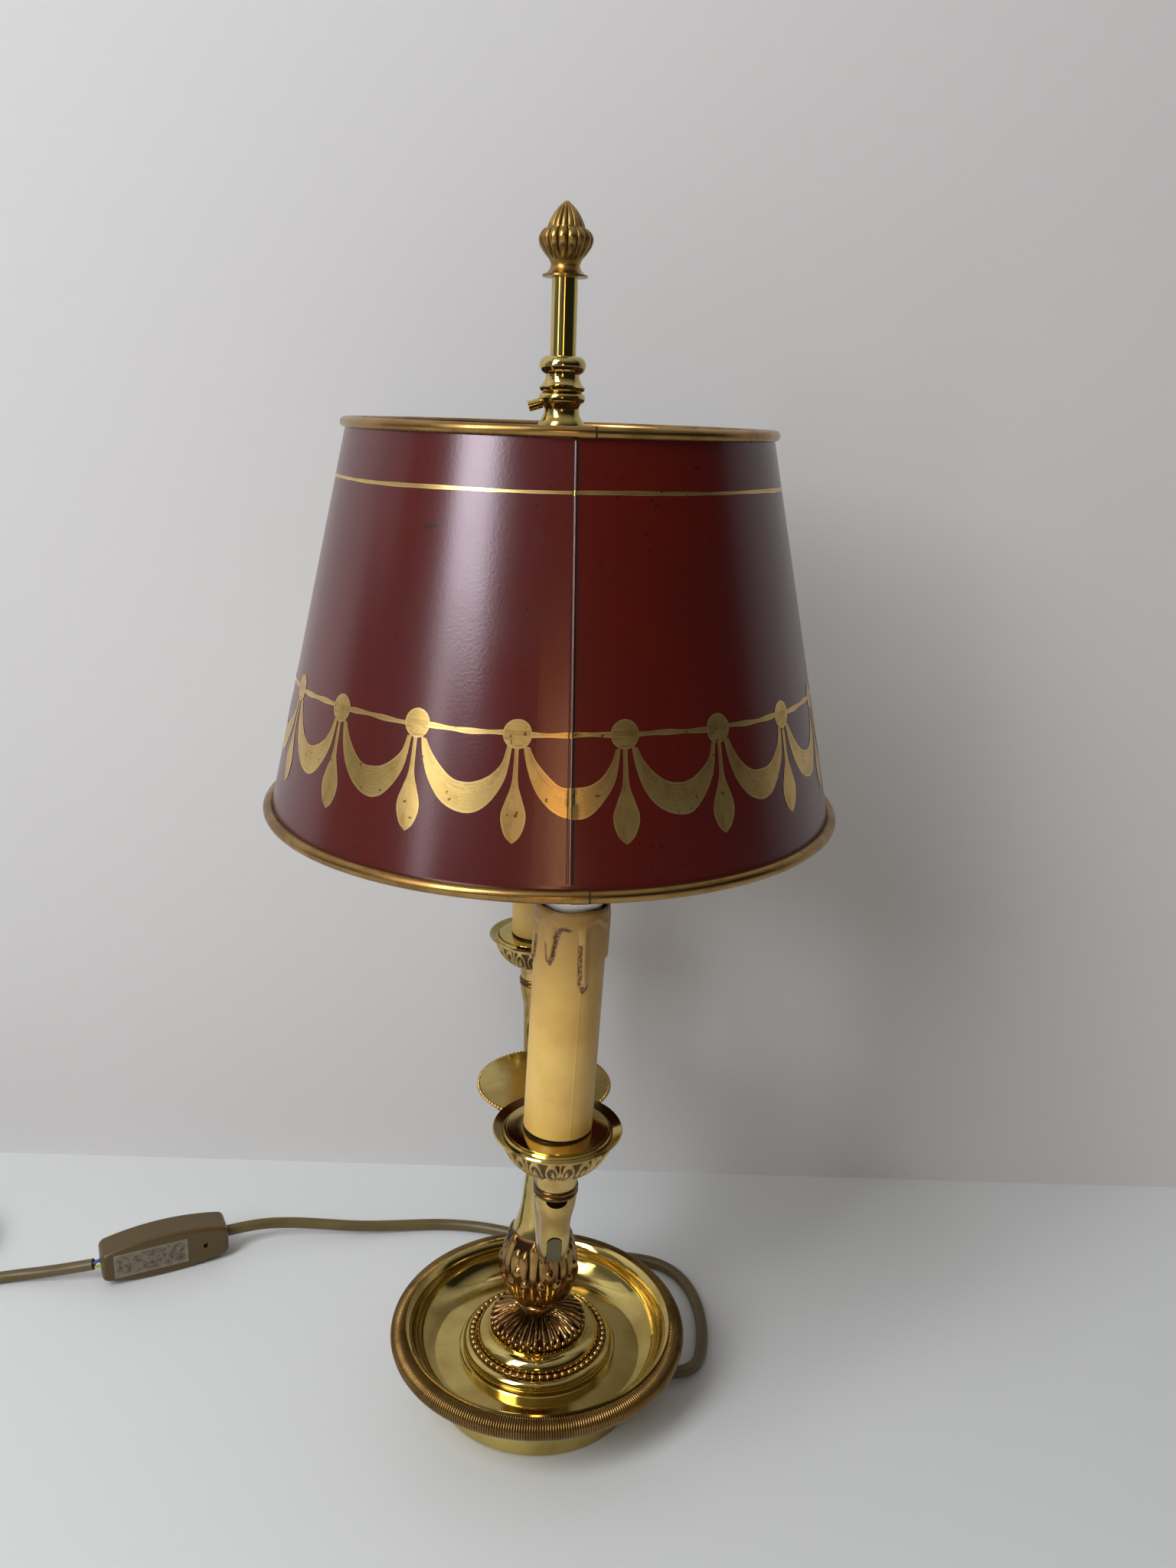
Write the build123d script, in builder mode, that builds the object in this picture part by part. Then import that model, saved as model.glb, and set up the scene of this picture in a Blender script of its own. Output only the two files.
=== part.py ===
from build123d import *
import math
import os

# Bouillotte table lamp with two candle lights under one sliding metal shade.
# The origin is under the middle of the foot, +Z up, the two arms lie along Y, all in millimetres.
os.makedirs("parts", exist_ok=True)

# Fits
run_fit = 0.08
thread_fit = 0.05
stack_fit = 0.3

# Foot: a spun drum, weighted, standing on a felt pad
foot_radius = 48.5
foot_height = 18.6
foot_wall = 1.2
foot_edge_radius = 1.6
felt_thickness = 1.6
felt_proud = 0.6
foot_bottom = felt_proud
foot_top = foot_bottom + foot_height
weight_gap = 0.7
weight_height = 15.9
counterbore_radius = 13.0
counterbore_depth = 8.0
lead_channel_width = 10.0
washer_radius = 11.0
washer_thickness = 1.5
nut_across_flats = 14.0
nut_height = 4.0

# Threaded tie tube that holds the stack from the foot to the hub
tie_radius = 5.0
tie_bore = 3.5
stack_bore = tie_radius + stack_fit

# Dish: a spun pan with a rolled rim round a reeded ring
dish_sheet = 1.0
dish_floor_radius = 49.3
dish_bulge_run = 7.1
dish_bulge_rise = 4.4
dish_wall_run = 16.4
ring_centre_rise = 11.3
ring_section_radius = 4.9
ring_wall = 1.1
lip_sheet = 0.9
lip_gap = 0.05
lip_wrap = 65.0

# Pedestal: a turned stepped casting
plinth_radius = 37.7
plinth_height = 2.6
torus_step = 1.7
torus_height = 5.0
bead_step = 4.5
bead_seat_radius = 0.9
cove_step = 1.9
cove_height = 6.2
lip_ring_step = 5.6
lip_ring_height = 1.2
pedestal_wall = 2.2

# Acanthus dome, its ring, and the urn
dome_step = 1.4
dome_height = 9.0
dome_neck_radius = 6.6
dome_leaves = 12
dome_leaf_proud = 0.9
dome_leaf_share = 0.94
dome_ring_radius = 8.0
dome_ring_height = 3.2
urn_foot_radius = 7.2
urn_radius = 17.8
urn_height = 41.0
urn_belly = 0.6
urn_mouth_radius = 13.6
urn_leaves = 8
urn_leaf_proud = 1.2
urn_leaf_share = 0.95
urn_leaf_curl = 1.6
urn_leaf_rise = 2.6

# Stem between the urn and the hub
stem_base_radius = 12.6
stem_radius = 6.6
stem_length = 37.0

# Hub, its fluted bowl and its plate
hub_radius = 12.5
hub_end_radius = 8.4
hub_height = 25.0
bowl_foot_radius = 11.0
bowl_radius = 28.3
bowl_height = 12.8
bowl_wall = 1.6
bowl_grooves = 28
bowl_groove_radius = 0.95
bowl_groove_sink = 0.55
plate_overhang = 1.2
plate_thickness = 1.1
plate_bead_radius = 0.55
rod_seat_rise = 8.0

# Arms
arm_reach = 92.5
arm_radius = 6.0
arm_root = 8.0
arm_root_rise = 16.0
arm_dip = 10.5
arm_knee = 38.0
arm_knee_radius = 60.0
arm_bend_radius = 24.0
arm_flare_radius = 8.0
arm_flare_height = 13.0
arm_rise = 37.0
arm_fit = 0.03
slot_width = 7.0
slot_depth = 2.0
slot_drop = 14.5
nipple_seat = 7.5

# Collar ring over each arm, cup, drip pan and nipple
sleeve_ring_proud = 0.15
sleeve_ring_height = 5.8
tongue_drop = 3.6
tongue_width = 7.6
cup_neck_proud = 0.15
cup_neck_height = 5.9
cup_ring_radius = 9.5
cup_ring_height = 1.3
cup_radius = 21.5
cup_wall = 1.3
cup_height = 21.7
pan_overhang = 3.1
pan_sheet = 1.0
pan_rise = 2.2
nipple_length = 42.0
nipple_bore = 3.5

# Candle lights
holder_base_step = 0.2
holder_base_height = 2.6
holder_height = 84.0
socket_clearance = 0.4
socket_depth = 25.0
sleeve_radius = 13.0
sleeve_wall = 1.1
sleeve_clearance = 1.0
sleeve_proud = 5.0
front_lean = 2.0
back_lean = 0.0
bulb_base_radius = 6.9
bulb_lift = 0.2
bulb_neck_radius = 10.0
bulb_radius = 16.0
bulb_mouth_rise = 4.5
bulb_belly_rise = 26.0
bulb_tip_rise = 68.0

# Rod and finial
rod_radius = 5.0
rod_length = 347.5
stud_radius = 3.0
stud_length = 10.0
finial_height = 26.8
finial_flange_radius = 8.7
finial_neck_radius = 5.5
finial_bulge_radius = 10.5
finial_cone_radius = 7.1
finial_tip_radius = 1.5
finial_lobes = 16
lobe_groove_radius = 0.8
lobe_groove_sink = 0.5
flute_radius = 0.6
flute_sink = 0.35

# Sliding collar, its ring nut and its thumb screw
collar_drop = 28.5
collar_flange_drop = 27.55
collar_bead_radius = 9.05
collar_waist_radius = 6.9
collar_neck_radius = 6.6
collar_flange_radius = 9.3
collar_stem_radius = 7.0
collar_stem_length = 15.0
ring_nut_radius = 9.6
ring_nut_height = 6.0
screw_radius = 1.5
screw_head_radius = 2.0
screw_head_length = 5.4
screw_tilt = 17.0
screw_drop = 17.3
screw_face = 7.6
screw_tip_gap = 0.2

# Shade: a painted cone between two rolled rims, carried by a three-armed spider
shade_clearance = 7.2
shade_bottom_radius = arm_reach + bulb_radius + shade_clearance
shade_top_radius = 82.9
shade_top_rise = 0.85
shade_height = 150.8
shade_sheet = 0.8
shade_fit = 0.05
bottom_rim_offset = 0.9
bottom_rim_section = 2.4
top_rim_offset = 0.3
top_rim_section = 2.0
lap_height = 0.5
lap_angle = 9.0
lap_edge = 0.5
lap_sink = 0.1
lap_margin = 3.4
rim_joint_offset = 6.6
rim_joint_width = 0.35
rim_sleeve_length = 6.2
rim_sleeve_height = 0.2
spider_hub_radius = 12.0
spider_thickness = 2.4
spider_bar_width = 7.0
spider_bar_thickness = 1.6

# Cord, in-line switch and plug
cord_radius = 3.0
cord_gap = 0.05
exit_angle = -5.0
exit_height = 6.2
relief_length = 20.0
relief_radius = 4.2
relief_tip_radius = 3.5
relief_inside = 10.0
relief_flange_radius = 5.4
relief_flange = 1.2
switch_x = -199.6
switch_y = 94.6
switch_angle = 21.5
switch_length = 66.0
switch_height = 24.0
switch_end_height = 15.6
switch_thickness = 17.5
switch_corner = 4.0
switch_edge = 2.2
switch_screw_offset = 20.5
rocker_length = 16.0
rocker_width = 9.0
rocker_gap = 0.3
rocker_depth = 3.15
rocker_throw = 7.0
rocker_pin_radius = 1.0
coil_x = -341.8
coil_y = 104.4
coil_turn_radius = 33.0
coil_columns = 3
coil_layers = 2
plug_clear = 21.0
plug_aside = 12.0
plug_straight = 11.0
plug_length = 36.0
plug_width = 34.0
plug_thickness = 15.0
plug_relief_length = 24.0
pin_radius = 2.0
pin_length = 19.0
pin_pitch = 9.5

# ---------------------------------------------------------------- foot
exit_plane = Plane(
    origin=(0, 0, exit_height),
    x_dir=(-math.sin(math.radians(exit_angle)), math.cos(math.radians(exit_angle)), 0),
    z_dir=(math.cos(math.radians(exit_angle)), math.sin(math.radians(exit_angle)), 0),
)

with BuildPart() as foot:
    with BuildSketch(Plane.XZ):
        with BuildLine():
            Polyline(
                (stack_bore, foot_top),
                (foot_radius, foot_top),
                (foot_radius, foot_bottom),
                (foot_radius - foot_wall, foot_bottom),
                (foot_radius - foot_wall, foot_top - foot_wall),
                (stack_bore, foot_top - foot_wall),
                close=True,
            )
        make_face()
    revolve(axis=Axis.Z)
    fillet(foot.edges().filter_by(GeomType.CIRCLE).group_by(Axis.Z)[-1].sort_by(SortBy.RADIUS)[-1], foot_edge_radius)
    with BuildSketch(exit_plane):
        Circle(relief_radius)
    extrude(amount=foot_radius * 1.1, mode=Mode.SUBTRACT)
foot.part.label = "foot"
export_step(foot.part, "parts/foot.step")

with BuildPart() as felt_pad:
    with BuildSketch(Plane.XY):
        Circle(foot_radius - foot_wall - stack_fit)
    extrude(amount=felt_thickness)
felt_pad.part.label = "felt_pad"
export_step(felt_pad.part, "parts/felt_pad.step")

# Cast weight, bored for the tie tube, counterbored for its nut and slotted for the lead
weight_top = foot_top - foot_wall
weight_radius = foot_radius - foot_wall - weight_gap
with BuildPart() as weight:
    with BuildSketch(Plane.XY.offset(weight_top - weight_height)):
        Circle(weight_radius)
    extrude(amount=weight_height)
    with BuildSketch(Plane.XY.offset(felt_thickness)):
        Circle(counterbore_radius)
    extrude(amount=counterbore_depth, mode=Mode.SUBTRACT)
    with BuildSketch(Plane.XY):
        Circle(stack_bore)
    extrude(amount=foot_top, mode=Mode.SUBTRACT)
    with BuildSketch(Plane.XY.offset(felt_thickness)):
        with Locations(Location((0, 0, 0), (0, 0, exit_angle))):
            Rectangle(weight_radius * 2, lead_channel_width, align=(Align.MIN, Align.CENTER))
    extrude(amount=exit_height + relief_radius + 0.6 - felt_thickness, mode=Mode.SUBTRACT)
weight.part.label = "weight"
export_step(weight.part, "parts/weight.step")

counterbore_top = felt_thickness + counterbore_depth
with BuildPart() as washer:
    with BuildSketch(Plane.XY.offset(counterbore_top - washer_thickness)):
        Circle(washer_radius)
        Circle(stack_bore, mode=Mode.SUBTRACT)
    extrude(amount=washer_thickness)
washer.part.label = "washer"
export_step(washer.part, "parts/washer.step")

nut_top = counterbore_top - washer_thickness
with BuildPart() as nut:
    with BuildSketch(Plane.XY.offset(nut_top - nut_height)):
        RegularPolygon(nut_across_flats / 2, 6, major_radius=False)
        Circle(tie_radius + thread_fit, mode=Mode.SUBTRACT)
    extrude(amount=nut_height)
nut.part.label = "nut"
export_step(nut.part, "parts/nut.step")

# ---------------------------------------------------------------- dish
dish_floor = foot_top + dish_sheet
dish_bulge_radius = dish_floor_radius + dish_bulge_run
ring_centre_radius = dish_floor_radius + dish_wall_run
ring_centre_height = dish_floor + ring_centre_rise
lip_inner = ring_section_radius + lip_gap
lip_outer = lip_inner + lip_sheet


def on_ring(radius, angle):
    """A point at a radius and angle round the middle of the reeded ring's section."""
    turn = math.radians(angle)
    return (ring_centre_radius + radius * math.cos(turn), ring_centre_height + radius * math.sin(turn))


with BuildPart() as dish:
    with BuildSketch(Plane.XZ):
        with BuildLine():
            Line((stack_bore, dish_floor), (dish_floor_radius, dish_floor))
            ThreePointArc(
                (dish_floor_radius, dish_floor),
                (dish_bulge_radius, dish_floor + dish_bulge_rise),
                on_ring(lip_outer, 180),
            )
            ThreePointArc(
                on_ring(lip_outer, 180),
                on_ring(lip_outer, 180 - lip_wrap / 2),
                on_ring(lip_outer, 180 - lip_wrap),
            )
            Line(on_ring(lip_outer, 180 - lip_wrap), on_ring(lip_inner, 180 - lip_wrap))
            ThreePointArc(
                on_ring(lip_inner, 180 - lip_wrap),
                on_ring(lip_inner, 180 - lip_wrap / 2),
                on_ring(lip_inner, 180),
            )
            ThreePointArc(
                on_ring(lip_inner, 180),
                (dish_bulge_radius + 0.75 * dish_sheet, dish_floor + dish_bulge_rise - 0.65 * dish_sheet),
                (dish_floor_radius + 0.3 * dish_sheet, foot_top),
            )
            Line((dish_floor_radius + 0.3 * dish_sheet, foot_top), (stack_bore, foot_top))
            Line((stack_bore, foot_top), (stack_bore, dish_floor))
        make_face()
    revolve(axis=Axis.Z)
dish.part.label = "dish"
export_step(dish.part, "parts/dish.step")

# Rolled ring, open underneath where its seam lies
with BuildPart() as rim_ring:
    with BuildSketch(Plane.XZ):
        with Locations((ring_centre_radius, ring_centre_height)):
            Circle(ring_section_radius)
            Circle(ring_section_radius - ring_wall, mode=Mode.SUBTRACT)
        with Locations((ring_centre_radius - ring_section_radius / 2, ring_centre_height - ring_section_radius)):
            Rectangle(ring_wall * 1.5, ring_section_radius, mode=Mode.SUBTRACT)
    revolve(axis=Axis.Z)
rim_ring.part.label = "rim_ring"
export_step(rim_ring.part, "parts/rim_ring.step")

# ---------------------------------------------------------------- pedestal
torus_radius = plinth_radius - torus_step
bead_circle_radius = torus_radius - bead_step
cove_radius = bead_circle_radius - cove_step
lip_ring_radius = cove_radius - lip_ring_step
plinth_top = dish_floor + plinth_height
torus_top = plinth_top + torus_height
cove_bottom = torus_top - 0.4
cove_top = cove_bottom + cove_height
lip_top = cove_top + lip_ring_height
with BuildPart() as pedestal:
    with BuildSketch(Plane.XZ):
        with BuildLine():
            Line((plinth_radius, dish_floor), (plinth_radius, plinth_top - 0.5))
            Line((plinth_radius, plinth_top - 0.5), (plinth_radius - 0.5, plinth_top))
            Line((plinth_radius - 0.5, plinth_top), (torus_radius - 0.6, plinth_top))
            ThreePointArc(
                (torus_radius - 0.6, plinth_top),
                (torus_radius - 0.3, plinth_top + torus_height * 0.55),
                (bead_circle_radius + 1.4, torus_top),
            )
            Line((bead_circle_radius + 1.4, torus_top), (bead_circle_radius + bead_seat_radius, torus_top))
            ThreePointArc(
                (bead_circle_radius + bead_seat_radius, torus_top),
                (bead_circle_radius, torus_top + bead_seat_radius),
                (bead_circle_radius - bead_seat_radius, torus_top),
            )
            Line((bead_circle_radius - bead_seat_radius, torus_top), (cove_radius, cove_bottom))
            ThreePointArc(
                (cove_radius, cove_bottom),
                (cove_radius - 1.2, cove_bottom + cove_height * 0.66),
                (lip_ring_radius + 0.8, cove_top),
            )
            Line((lip_ring_radius + 0.8, cove_top), (lip_ring_radius, cove_top))
            Line((lip_ring_radius, cove_top), (lip_ring_radius, lip_top))
            Line((lip_ring_radius, lip_top), (stack_bore, lip_top))
            Line((stack_bore, lip_top), (stack_bore, lip_top - pedestal_wall))
            Line((stack_bore, lip_top - pedestal_wall), (lip_ring_radius - pedestal_wall, lip_top - pedestal_wall))
            Line(
                (lip_ring_radius - pedestal_wall, lip_top - pedestal_wall),
                (cove_radius - pedestal_wall, cove_bottom - pedestal_wall / 2),
            )
            Line(
                (cove_radius - pedestal_wall, cove_bottom - pedestal_wall / 2),
                (torus_radius - 2 * pedestal_wall, plinth_top),
            )
            Line((torus_radius - 2 * pedestal_wall, plinth_top), (plinth_radius - 2 * pedestal_wall, dish_floor))
            Line((plinth_radius - 2 * pedestal_wall, dish_floor), (plinth_radius, dish_floor))
        make_face()
    revolve(axis=Axis.Z)
pedestal.part.label = "pedestal"
export_step(pedestal.part, "parts/pedestal.step")

dome_radius = lip_ring_radius - dome_step
dome_top = lip_top + dome_height
dome_leaf_half = dome_radius * math.sin(math.pi / dome_leaves) * dome_leaf_share
leaf_root = 0.32


def leaf_arcs(side, half_width, low, high):
    """The arcs of one side of a leaf's outline, with three rounded lobes from its root up to its tip."""
    corners = [(leaf_root, 0.0), (0.74, 0.32), (0.80, 0.60), (0.55, 0.84), (0.0, 1.0)]
    bulges = [(0.74, 0.14), (0.99, 0.47), (0.86, 0.76), (0.36, 0.97)]
    arcs = []
    for start, middle, end in zip(corners, bulges, corners[1:]):
        arcs.append([(side * half_width * x, low + (high - low) * y) for x, y in (start, middle, end)])
    return arcs


with BuildPart() as acanthus_dome:
    with BuildSketch(Plane.XZ):
        with BuildLine():
            Line((stack_bore, lip_top), (dome_radius, lip_top))
            Line((dome_radius, lip_top), (dome_radius, lip_top + 0.8))
            Spline(
                (dome_radius, lip_top + 0.8),
                (dome_radius * 0.6, lip_top + dome_height * 0.62),
                (dome_neck_radius, dome_top),
                tangents=((-0.45, 0.9), (-0.45, 0.9)),
            )
            Line((dome_neck_radius, dome_top), (stack_bore, dome_top))
            Line((stack_bore, dome_top), (stack_bore, lip_top))
        make_face()
    revolve(axis=Axis.Z)
    # Lobed leaves lie on the dome: a thicker dome, cut to a leaf's outline seen from above
    with BuildPart(mode=Mode.PRIVATE) as dome_leaf:
        with BuildSketch(Plane.XZ):
            with BuildLine():
                Line((dome_neck_radius - 0.6, lip_top), (dome_radius, lip_top))
                Line((dome_radius, lip_top), (dome_radius + dome_leaf_proud * 0.6, lip_top + 0.8))
                Spline(
                    (dome_radius + dome_leaf_proud * 0.6, lip_top + 0.8),
                    (dome_radius * 0.6 + dome_leaf_proud * 0.4, lip_top + dome_height * 0.62 + dome_leaf_proud),
                    (dome_neck_radius + 0.3, dome_top - 0.4),
                    tangents=((-0.45, 0.9), (-0.45, 0.9)),
                )
                Line((dome_neck_radius + 0.3, dome_top - 0.4), (dome_neck_radius - 0.6, dome_top - 0.4))
                Line((dome_neck_radius - 0.6, dome_top - 0.4), (dome_neck_radius - 0.6, lip_top))
            make_face()
        revolve(axis=Axis.Z)
        with BuildSketch(Plane(origin=(0, 0, lip_top), x_dir=(0, 1, 0), z_dir=(0, 0, 1))):
            with BuildLine():
                for side in (1, -1):
                    for start, middle, end in leaf_arcs(side, dome_leaf_half, -dome_neck_radius, -dome_radius - 1.0):
                        ThreePointArc(start, middle, end)
                Line((-leaf_root * dome_leaf_half, -dome_neck_radius), (leaf_root * dome_leaf_half, -dome_neck_radius))
            make_face()
        extrude(amount=dome_height * 2, mode=Mode.INTERSECT)
    with PolarLocations(0, dome_leaves):
        add(dome_leaf.part)
acanthus_dome.part.label = "acanthus_dome"
export_step(acanthus_dome.part, "parts/acanthus_dome.step")

dome_ring_top = dome_top + dome_ring_height
with BuildPart() as dome_ring:
    with BuildSketch(Plane.XZ):
        with BuildLine():
            Line((stack_bore, dome_top), (dome_ring_radius - 1.2, dome_top))
            ThreePointArc(
                (dome_ring_radius - 1.2, dome_top),
                (dome_ring_radius, dome_top + dome_ring_height / 2),
                (dome_ring_radius - 1.2, dome_ring_top),
            )
            Line((dome_ring_radius - 1.2, dome_ring_top), (stack_bore, dome_ring_top))
            Line((stack_bore, dome_ring_top), (stack_bore, dome_top))
        make_face()
    revolve(axis=Axis.Z)
dome_ring.part.label = "dome_ring"
export_step(dome_ring.part, "parts/dome_ring.step")

# ---------------------------------------------------------------- urn and stem
urn_top = dome_ring_top + urn_height
hub_bottom = urn_top + stem_length
urn_leaf_foot = dome_ring_top + urn_height * 0.06
urn_leaf_half = urn_radius * math.sin(math.pi / urn_leaves) * urn_leaf_share
with BuildPart() as urn:
    with BuildSketch(Plane.XZ):
        with BuildLine():
            Line((stack_bore, dome_ring_top), (urn_foot_radius, dome_ring_top))
            Spline(
                (urn_foot_radius, dome_ring_top),
                (urn_radius - 2.6, dome_ring_top + urn_height * urn_belly * 0.5),
                (urn_radius, dome_ring_top + urn_height * urn_belly),
                (urn_mouth_radius, urn_top),
                tangents=((1, 0.35), (-0.5, 1)),
            )
            Line((urn_mouth_radius, urn_top), (stack_bore, urn_top))
            Line((stack_bore, urn_top), (stack_bore, dome_ring_top))
        make_face()
    revolve(axis=Axis.Z)
    # Two rows of lobed leaves stand on its side and curl out at their tips.
    for start_angle, proud, leaf_tip in (
        (0, urn_leaf_proud, urn_top - urn_leaf_rise),
        (180 / urn_leaves, urn_leaf_proud * 0.55, urn_top),
    ):
        with BuildPart(mode=Mode.PRIVATE) as urn_leaf:
            with BuildSketch(Plane.XZ):
                with BuildLine():
                    Spline(
                        (urn_foot_radius + 2.4, urn_leaf_foot),
                        (urn_radius - 2.6 + proud, dome_ring_top + urn_height * urn_belly * 0.5),
                        (urn_radius + proud, dome_ring_top + urn_height * urn_belly),
                        (urn_mouth_radius + proud + urn_leaf_curl * 1.4, leaf_tip - 5.0),
                        (urn_mouth_radius + proud + urn_leaf_curl * 2, leaf_tip),
                        tangents=((1, 0.6), (0.6, 1)),
                    )
                    ThreePointArc(
                        (urn_mouth_radius + proud + urn_leaf_curl * 2, leaf_tip),
                        (urn_mouth_radius + urn_leaf_curl, leaf_tip - 1.2),
                        (urn_mouth_radius - 0.6, leaf_tip - 4.0),
                    )
                    Line(
                        (urn_mouth_radius - 0.6, leaf_tip - 4.0),
                        (urn_mouth_radius - 2.0, dome_ring_top + urn_height * urn_belly * 0.5),
                    )
                    Line(
                        (urn_mouth_radius - 2.0, dome_ring_top + urn_height * urn_belly * 0.5),
                        (urn_foot_radius + 2.4, urn_leaf_foot),
                    )
                make_face()
            revolve(axis=Axis.Z)
            with BuildSketch(Plane.XZ):
                with BuildLine():
                    for side in (1, -1):
                        for start, middle, end in leaf_arcs(side, urn_leaf_half, urn_leaf_foot, leaf_tip + 0.6):
                            ThreePointArc(start, middle, end)
                    Line((-leaf_root * urn_leaf_half, urn_leaf_foot), (leaf_root * urn_leaf_half, urn_leaf_foot))
                make_face()
            extrude(amount=urn_radius * 2, mode=Mode.INTERSECT)
        with PolarLocations(0, urn_leaves, start_angle=start_angle):
            add(urn_leaf.part)
urn.part.label = "urn"
export_step(urn.part, "parts/urn.step")

with BuildPart() as stem:
    with BuildSketch(Plane.XZ):
        with BuildLine():
            Line((stack_bore, urn_top), (stem_base_radius, urn_top))
            Spline(
                (stem_base_radius, urn_top),
                (stem_radius + 3.2, urn_top + 9.0),
                (stem_radius + 0.7, urn_top + 30.0),
                (stem_radius, hub_bottom),
                tangents=((-0.4, 1), (0, 1)),
            )
            Line((stem_radius, hub_bottom), (stack_bore, hub_bottom))
            Line((stack_bore, hub_bottom), (stack_bore, urn_top))
        make_face()
    revolve(axis=Axis.Z)
stem.part.label = "stem"
export_step(stem.part, "parts/stem.step")

# ---------------------------------------------------------------- hub
hub_top = hub_bottom + hub_height
rod_seat = hub_top + rod_seat_rise
arm_root_height = hub_bottom + arm_root_rise
arm_low_height = arm_root_height - arm_dip
arm_top = arm_low_height + arm_rise
slot_top = arm_top - slot_drop
with BuildPart() as hub:
    with BuildSketch(Plane.XZ):
        with BuildLine():
            Line((stack_bore, hub_bottom), (hub_end_radius, hub_bottom))
            ThreePointArc(
                (hub_end_radius, hub_bottom),
                (hub_radius, (hub_bottom + hub_top) / 2 + 3.0),
                (hub_end_radius, hub_top),
            )
            Line((hub_end_radius, hub_top), (stack_bore, hub_top))
            Line((stack_bore, hub_top), (stack_bore, hub_bottom))
        make_face()
    revolve(axis=Axis.Z)
    arm_fall = math.degrees(math.atan2(arm_root_height - arm_low_height, arm_knee - arm_root))
    for side in (1, -1):
        root_plane = Plane(
            origin=(0, side * arm_root, arm_root_height),
            x_dir=(1, 0, 0),
            z_dir=(0, side * math.cos(math.radians(arm_fall)), -math.sin(math.radians(arm_fall))),
        )
        with BuildSketch(root_plane):
            Circle(arm_radius + arm_fit)
        extrude(amount=hub_radius, mode=Mode.SUBTRACT)
hub.part.label = "hub"
export_step(hub.part, "parts/hub.step")

bowl_top = hub_top + bowl_height
plate_radius = bowl_radius + plate_overhang
rod_bore = rod_radius + thread_fit
with BuildPart() as hub_bowl:
    with BuildSketch(Plane.XZ):
        with BuildLine():
            Line((rod_bore, hub_top), (bowl_foot_radius, hub_top))
            Spline(
                (bowl_foot_radius, hub_top),
                (bowl_radius * 0.8, hub_top + bowl_height * 0.42),
                (bowl_radius, bowl_top),
                tangents=((1, 0.3), (0.15, 1)),
            )
            Line((bowl_radius, bowl_top), (bowl_radius - bowl_wall, bowl_top))
            Spline(
                (bowl_radius - bowl_wall, bowl_top),
                (bowl_radius * 0.8 - bowl_wall, hub_top + bowl_height * 0.42 + bowl_wall),
                (bowl_foot_radius, hub_top + 2 * bowl_wall),
                tangents=((-0.15, -1), (-1, -0.3)),
            )
            Line((bowl_foot_radius, hub_top + 2 * bowl_wall), (rod_bore, hub_top + 2 * bowl_wall))
            Line((rod_bore, hub_top + 2 * bowl_wall), (rod_bore, hub_top))
        make_face()
    revolve(axis=Axis.Z)
    # Grooves round its side leave round flutes between them.
    with BuildPart(mode=Mode.PRIVATE) as bowl_groove:
        with BuildLine(Plane.XZ) as bowl_groove_path:
            Spline(
                (bowl_foot_radius + 2.0, hub_top - bowl_groove_sink),
                (bowl_radius * 0.8 + bowl_groove_sink, hub_top + bowl_height * 0.42 - bowl_groove_sink),
                (bowl_radius + bowl_groove_sink, bowl_top - bowl_groove_radius * 1.8),
                tangents=((1, 0.3), (0.15, 1)),
            )
        with BuildSketch(Plane(origin=bowl_groove_path.line @ 0, z_dir=bowl_groove_path.line % 0)):
            Circle(bowl_groove_radius)
        sweep(path=bowl_groove_path.line)
    with PolarLocations(0, bowl_grooves):
        add(bowl_groove.part, mode=Mode.SUBTRACT)
hub_bowl.part.label = "hub_bowl"
export_step(hub_bowl.part, "parts/hub_bowl.step")

with BuildPart() as hub_plate:
    with BuildSketch(Plane.XZ):
        with BuildLine():
            Line((rod_bore, bowl_top), (plate_radius - plate_bead_radius, bowl_top))
            ThreePointArc(
                (plate_radius - plate_bead_radius, bowl_top),
                (plate_radius, bowl_top + plate_thickness / 2),
                (plate_radius - plate_bead_radius, bowl_top + plate_thickness),
            )
            Line(
                (plate_radius - plate_bead_radius, bowl_top + plate_thickness),
                (rod_bore, bowl_top + plate_thickness),
            )
            Line((rod_bore, bowl_top + plate_thickness), (rod_bore, bowl_top))
        make_face()
    revolve(axis=Axis.Z)
hub_plate.part.label = "hub_plate"
export_step(hub_plate.part, "parts/hub_plate.step")

rod_top = rod_seat + rod_length
with BuildPart() as rod:
    with BuildSketch(Plane.XY.offset(rod_seat)):
        Circle(rod_radius)
    extrude(amount=rod_top - rod_seat)
    with BuildSketch(Plane.XY.offset(rod_top)):
        Circle(stud_radius)
    extrude(amount=stud_length)
rod.part.label = "rod"
export_step(rod.part, "parts/rod.step")

# The tube ties the stack together from the nut in the foot up to the rod's seat.
with BuildPart() as tie_tube:
    with BuildSketch(Plane.XY.offset(nut_top - nut_height)):
        Circle(tie_radius)
        Circle(tie_bore, mode=Mode.SUBTRACT)
    extrude(amount=rod_seat - nut_top + nut_height)
tie_tube.part.label = "tie_tube"
export_step(tie_tube.part, "parts/tie_tube.step")

# ---------------------------------------------------------------- finial
finial_top = rod_top + finial_height
tip_turn = 65.0


def tip_point(turn):
    """A point on the rounded tip, turned from the axis."""
    angle = math.radians(turn)
    return (finial_tip_radius * math.sin(angle), finial_top - finial_tip_radius * (1 - math.cos(angle)))


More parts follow.
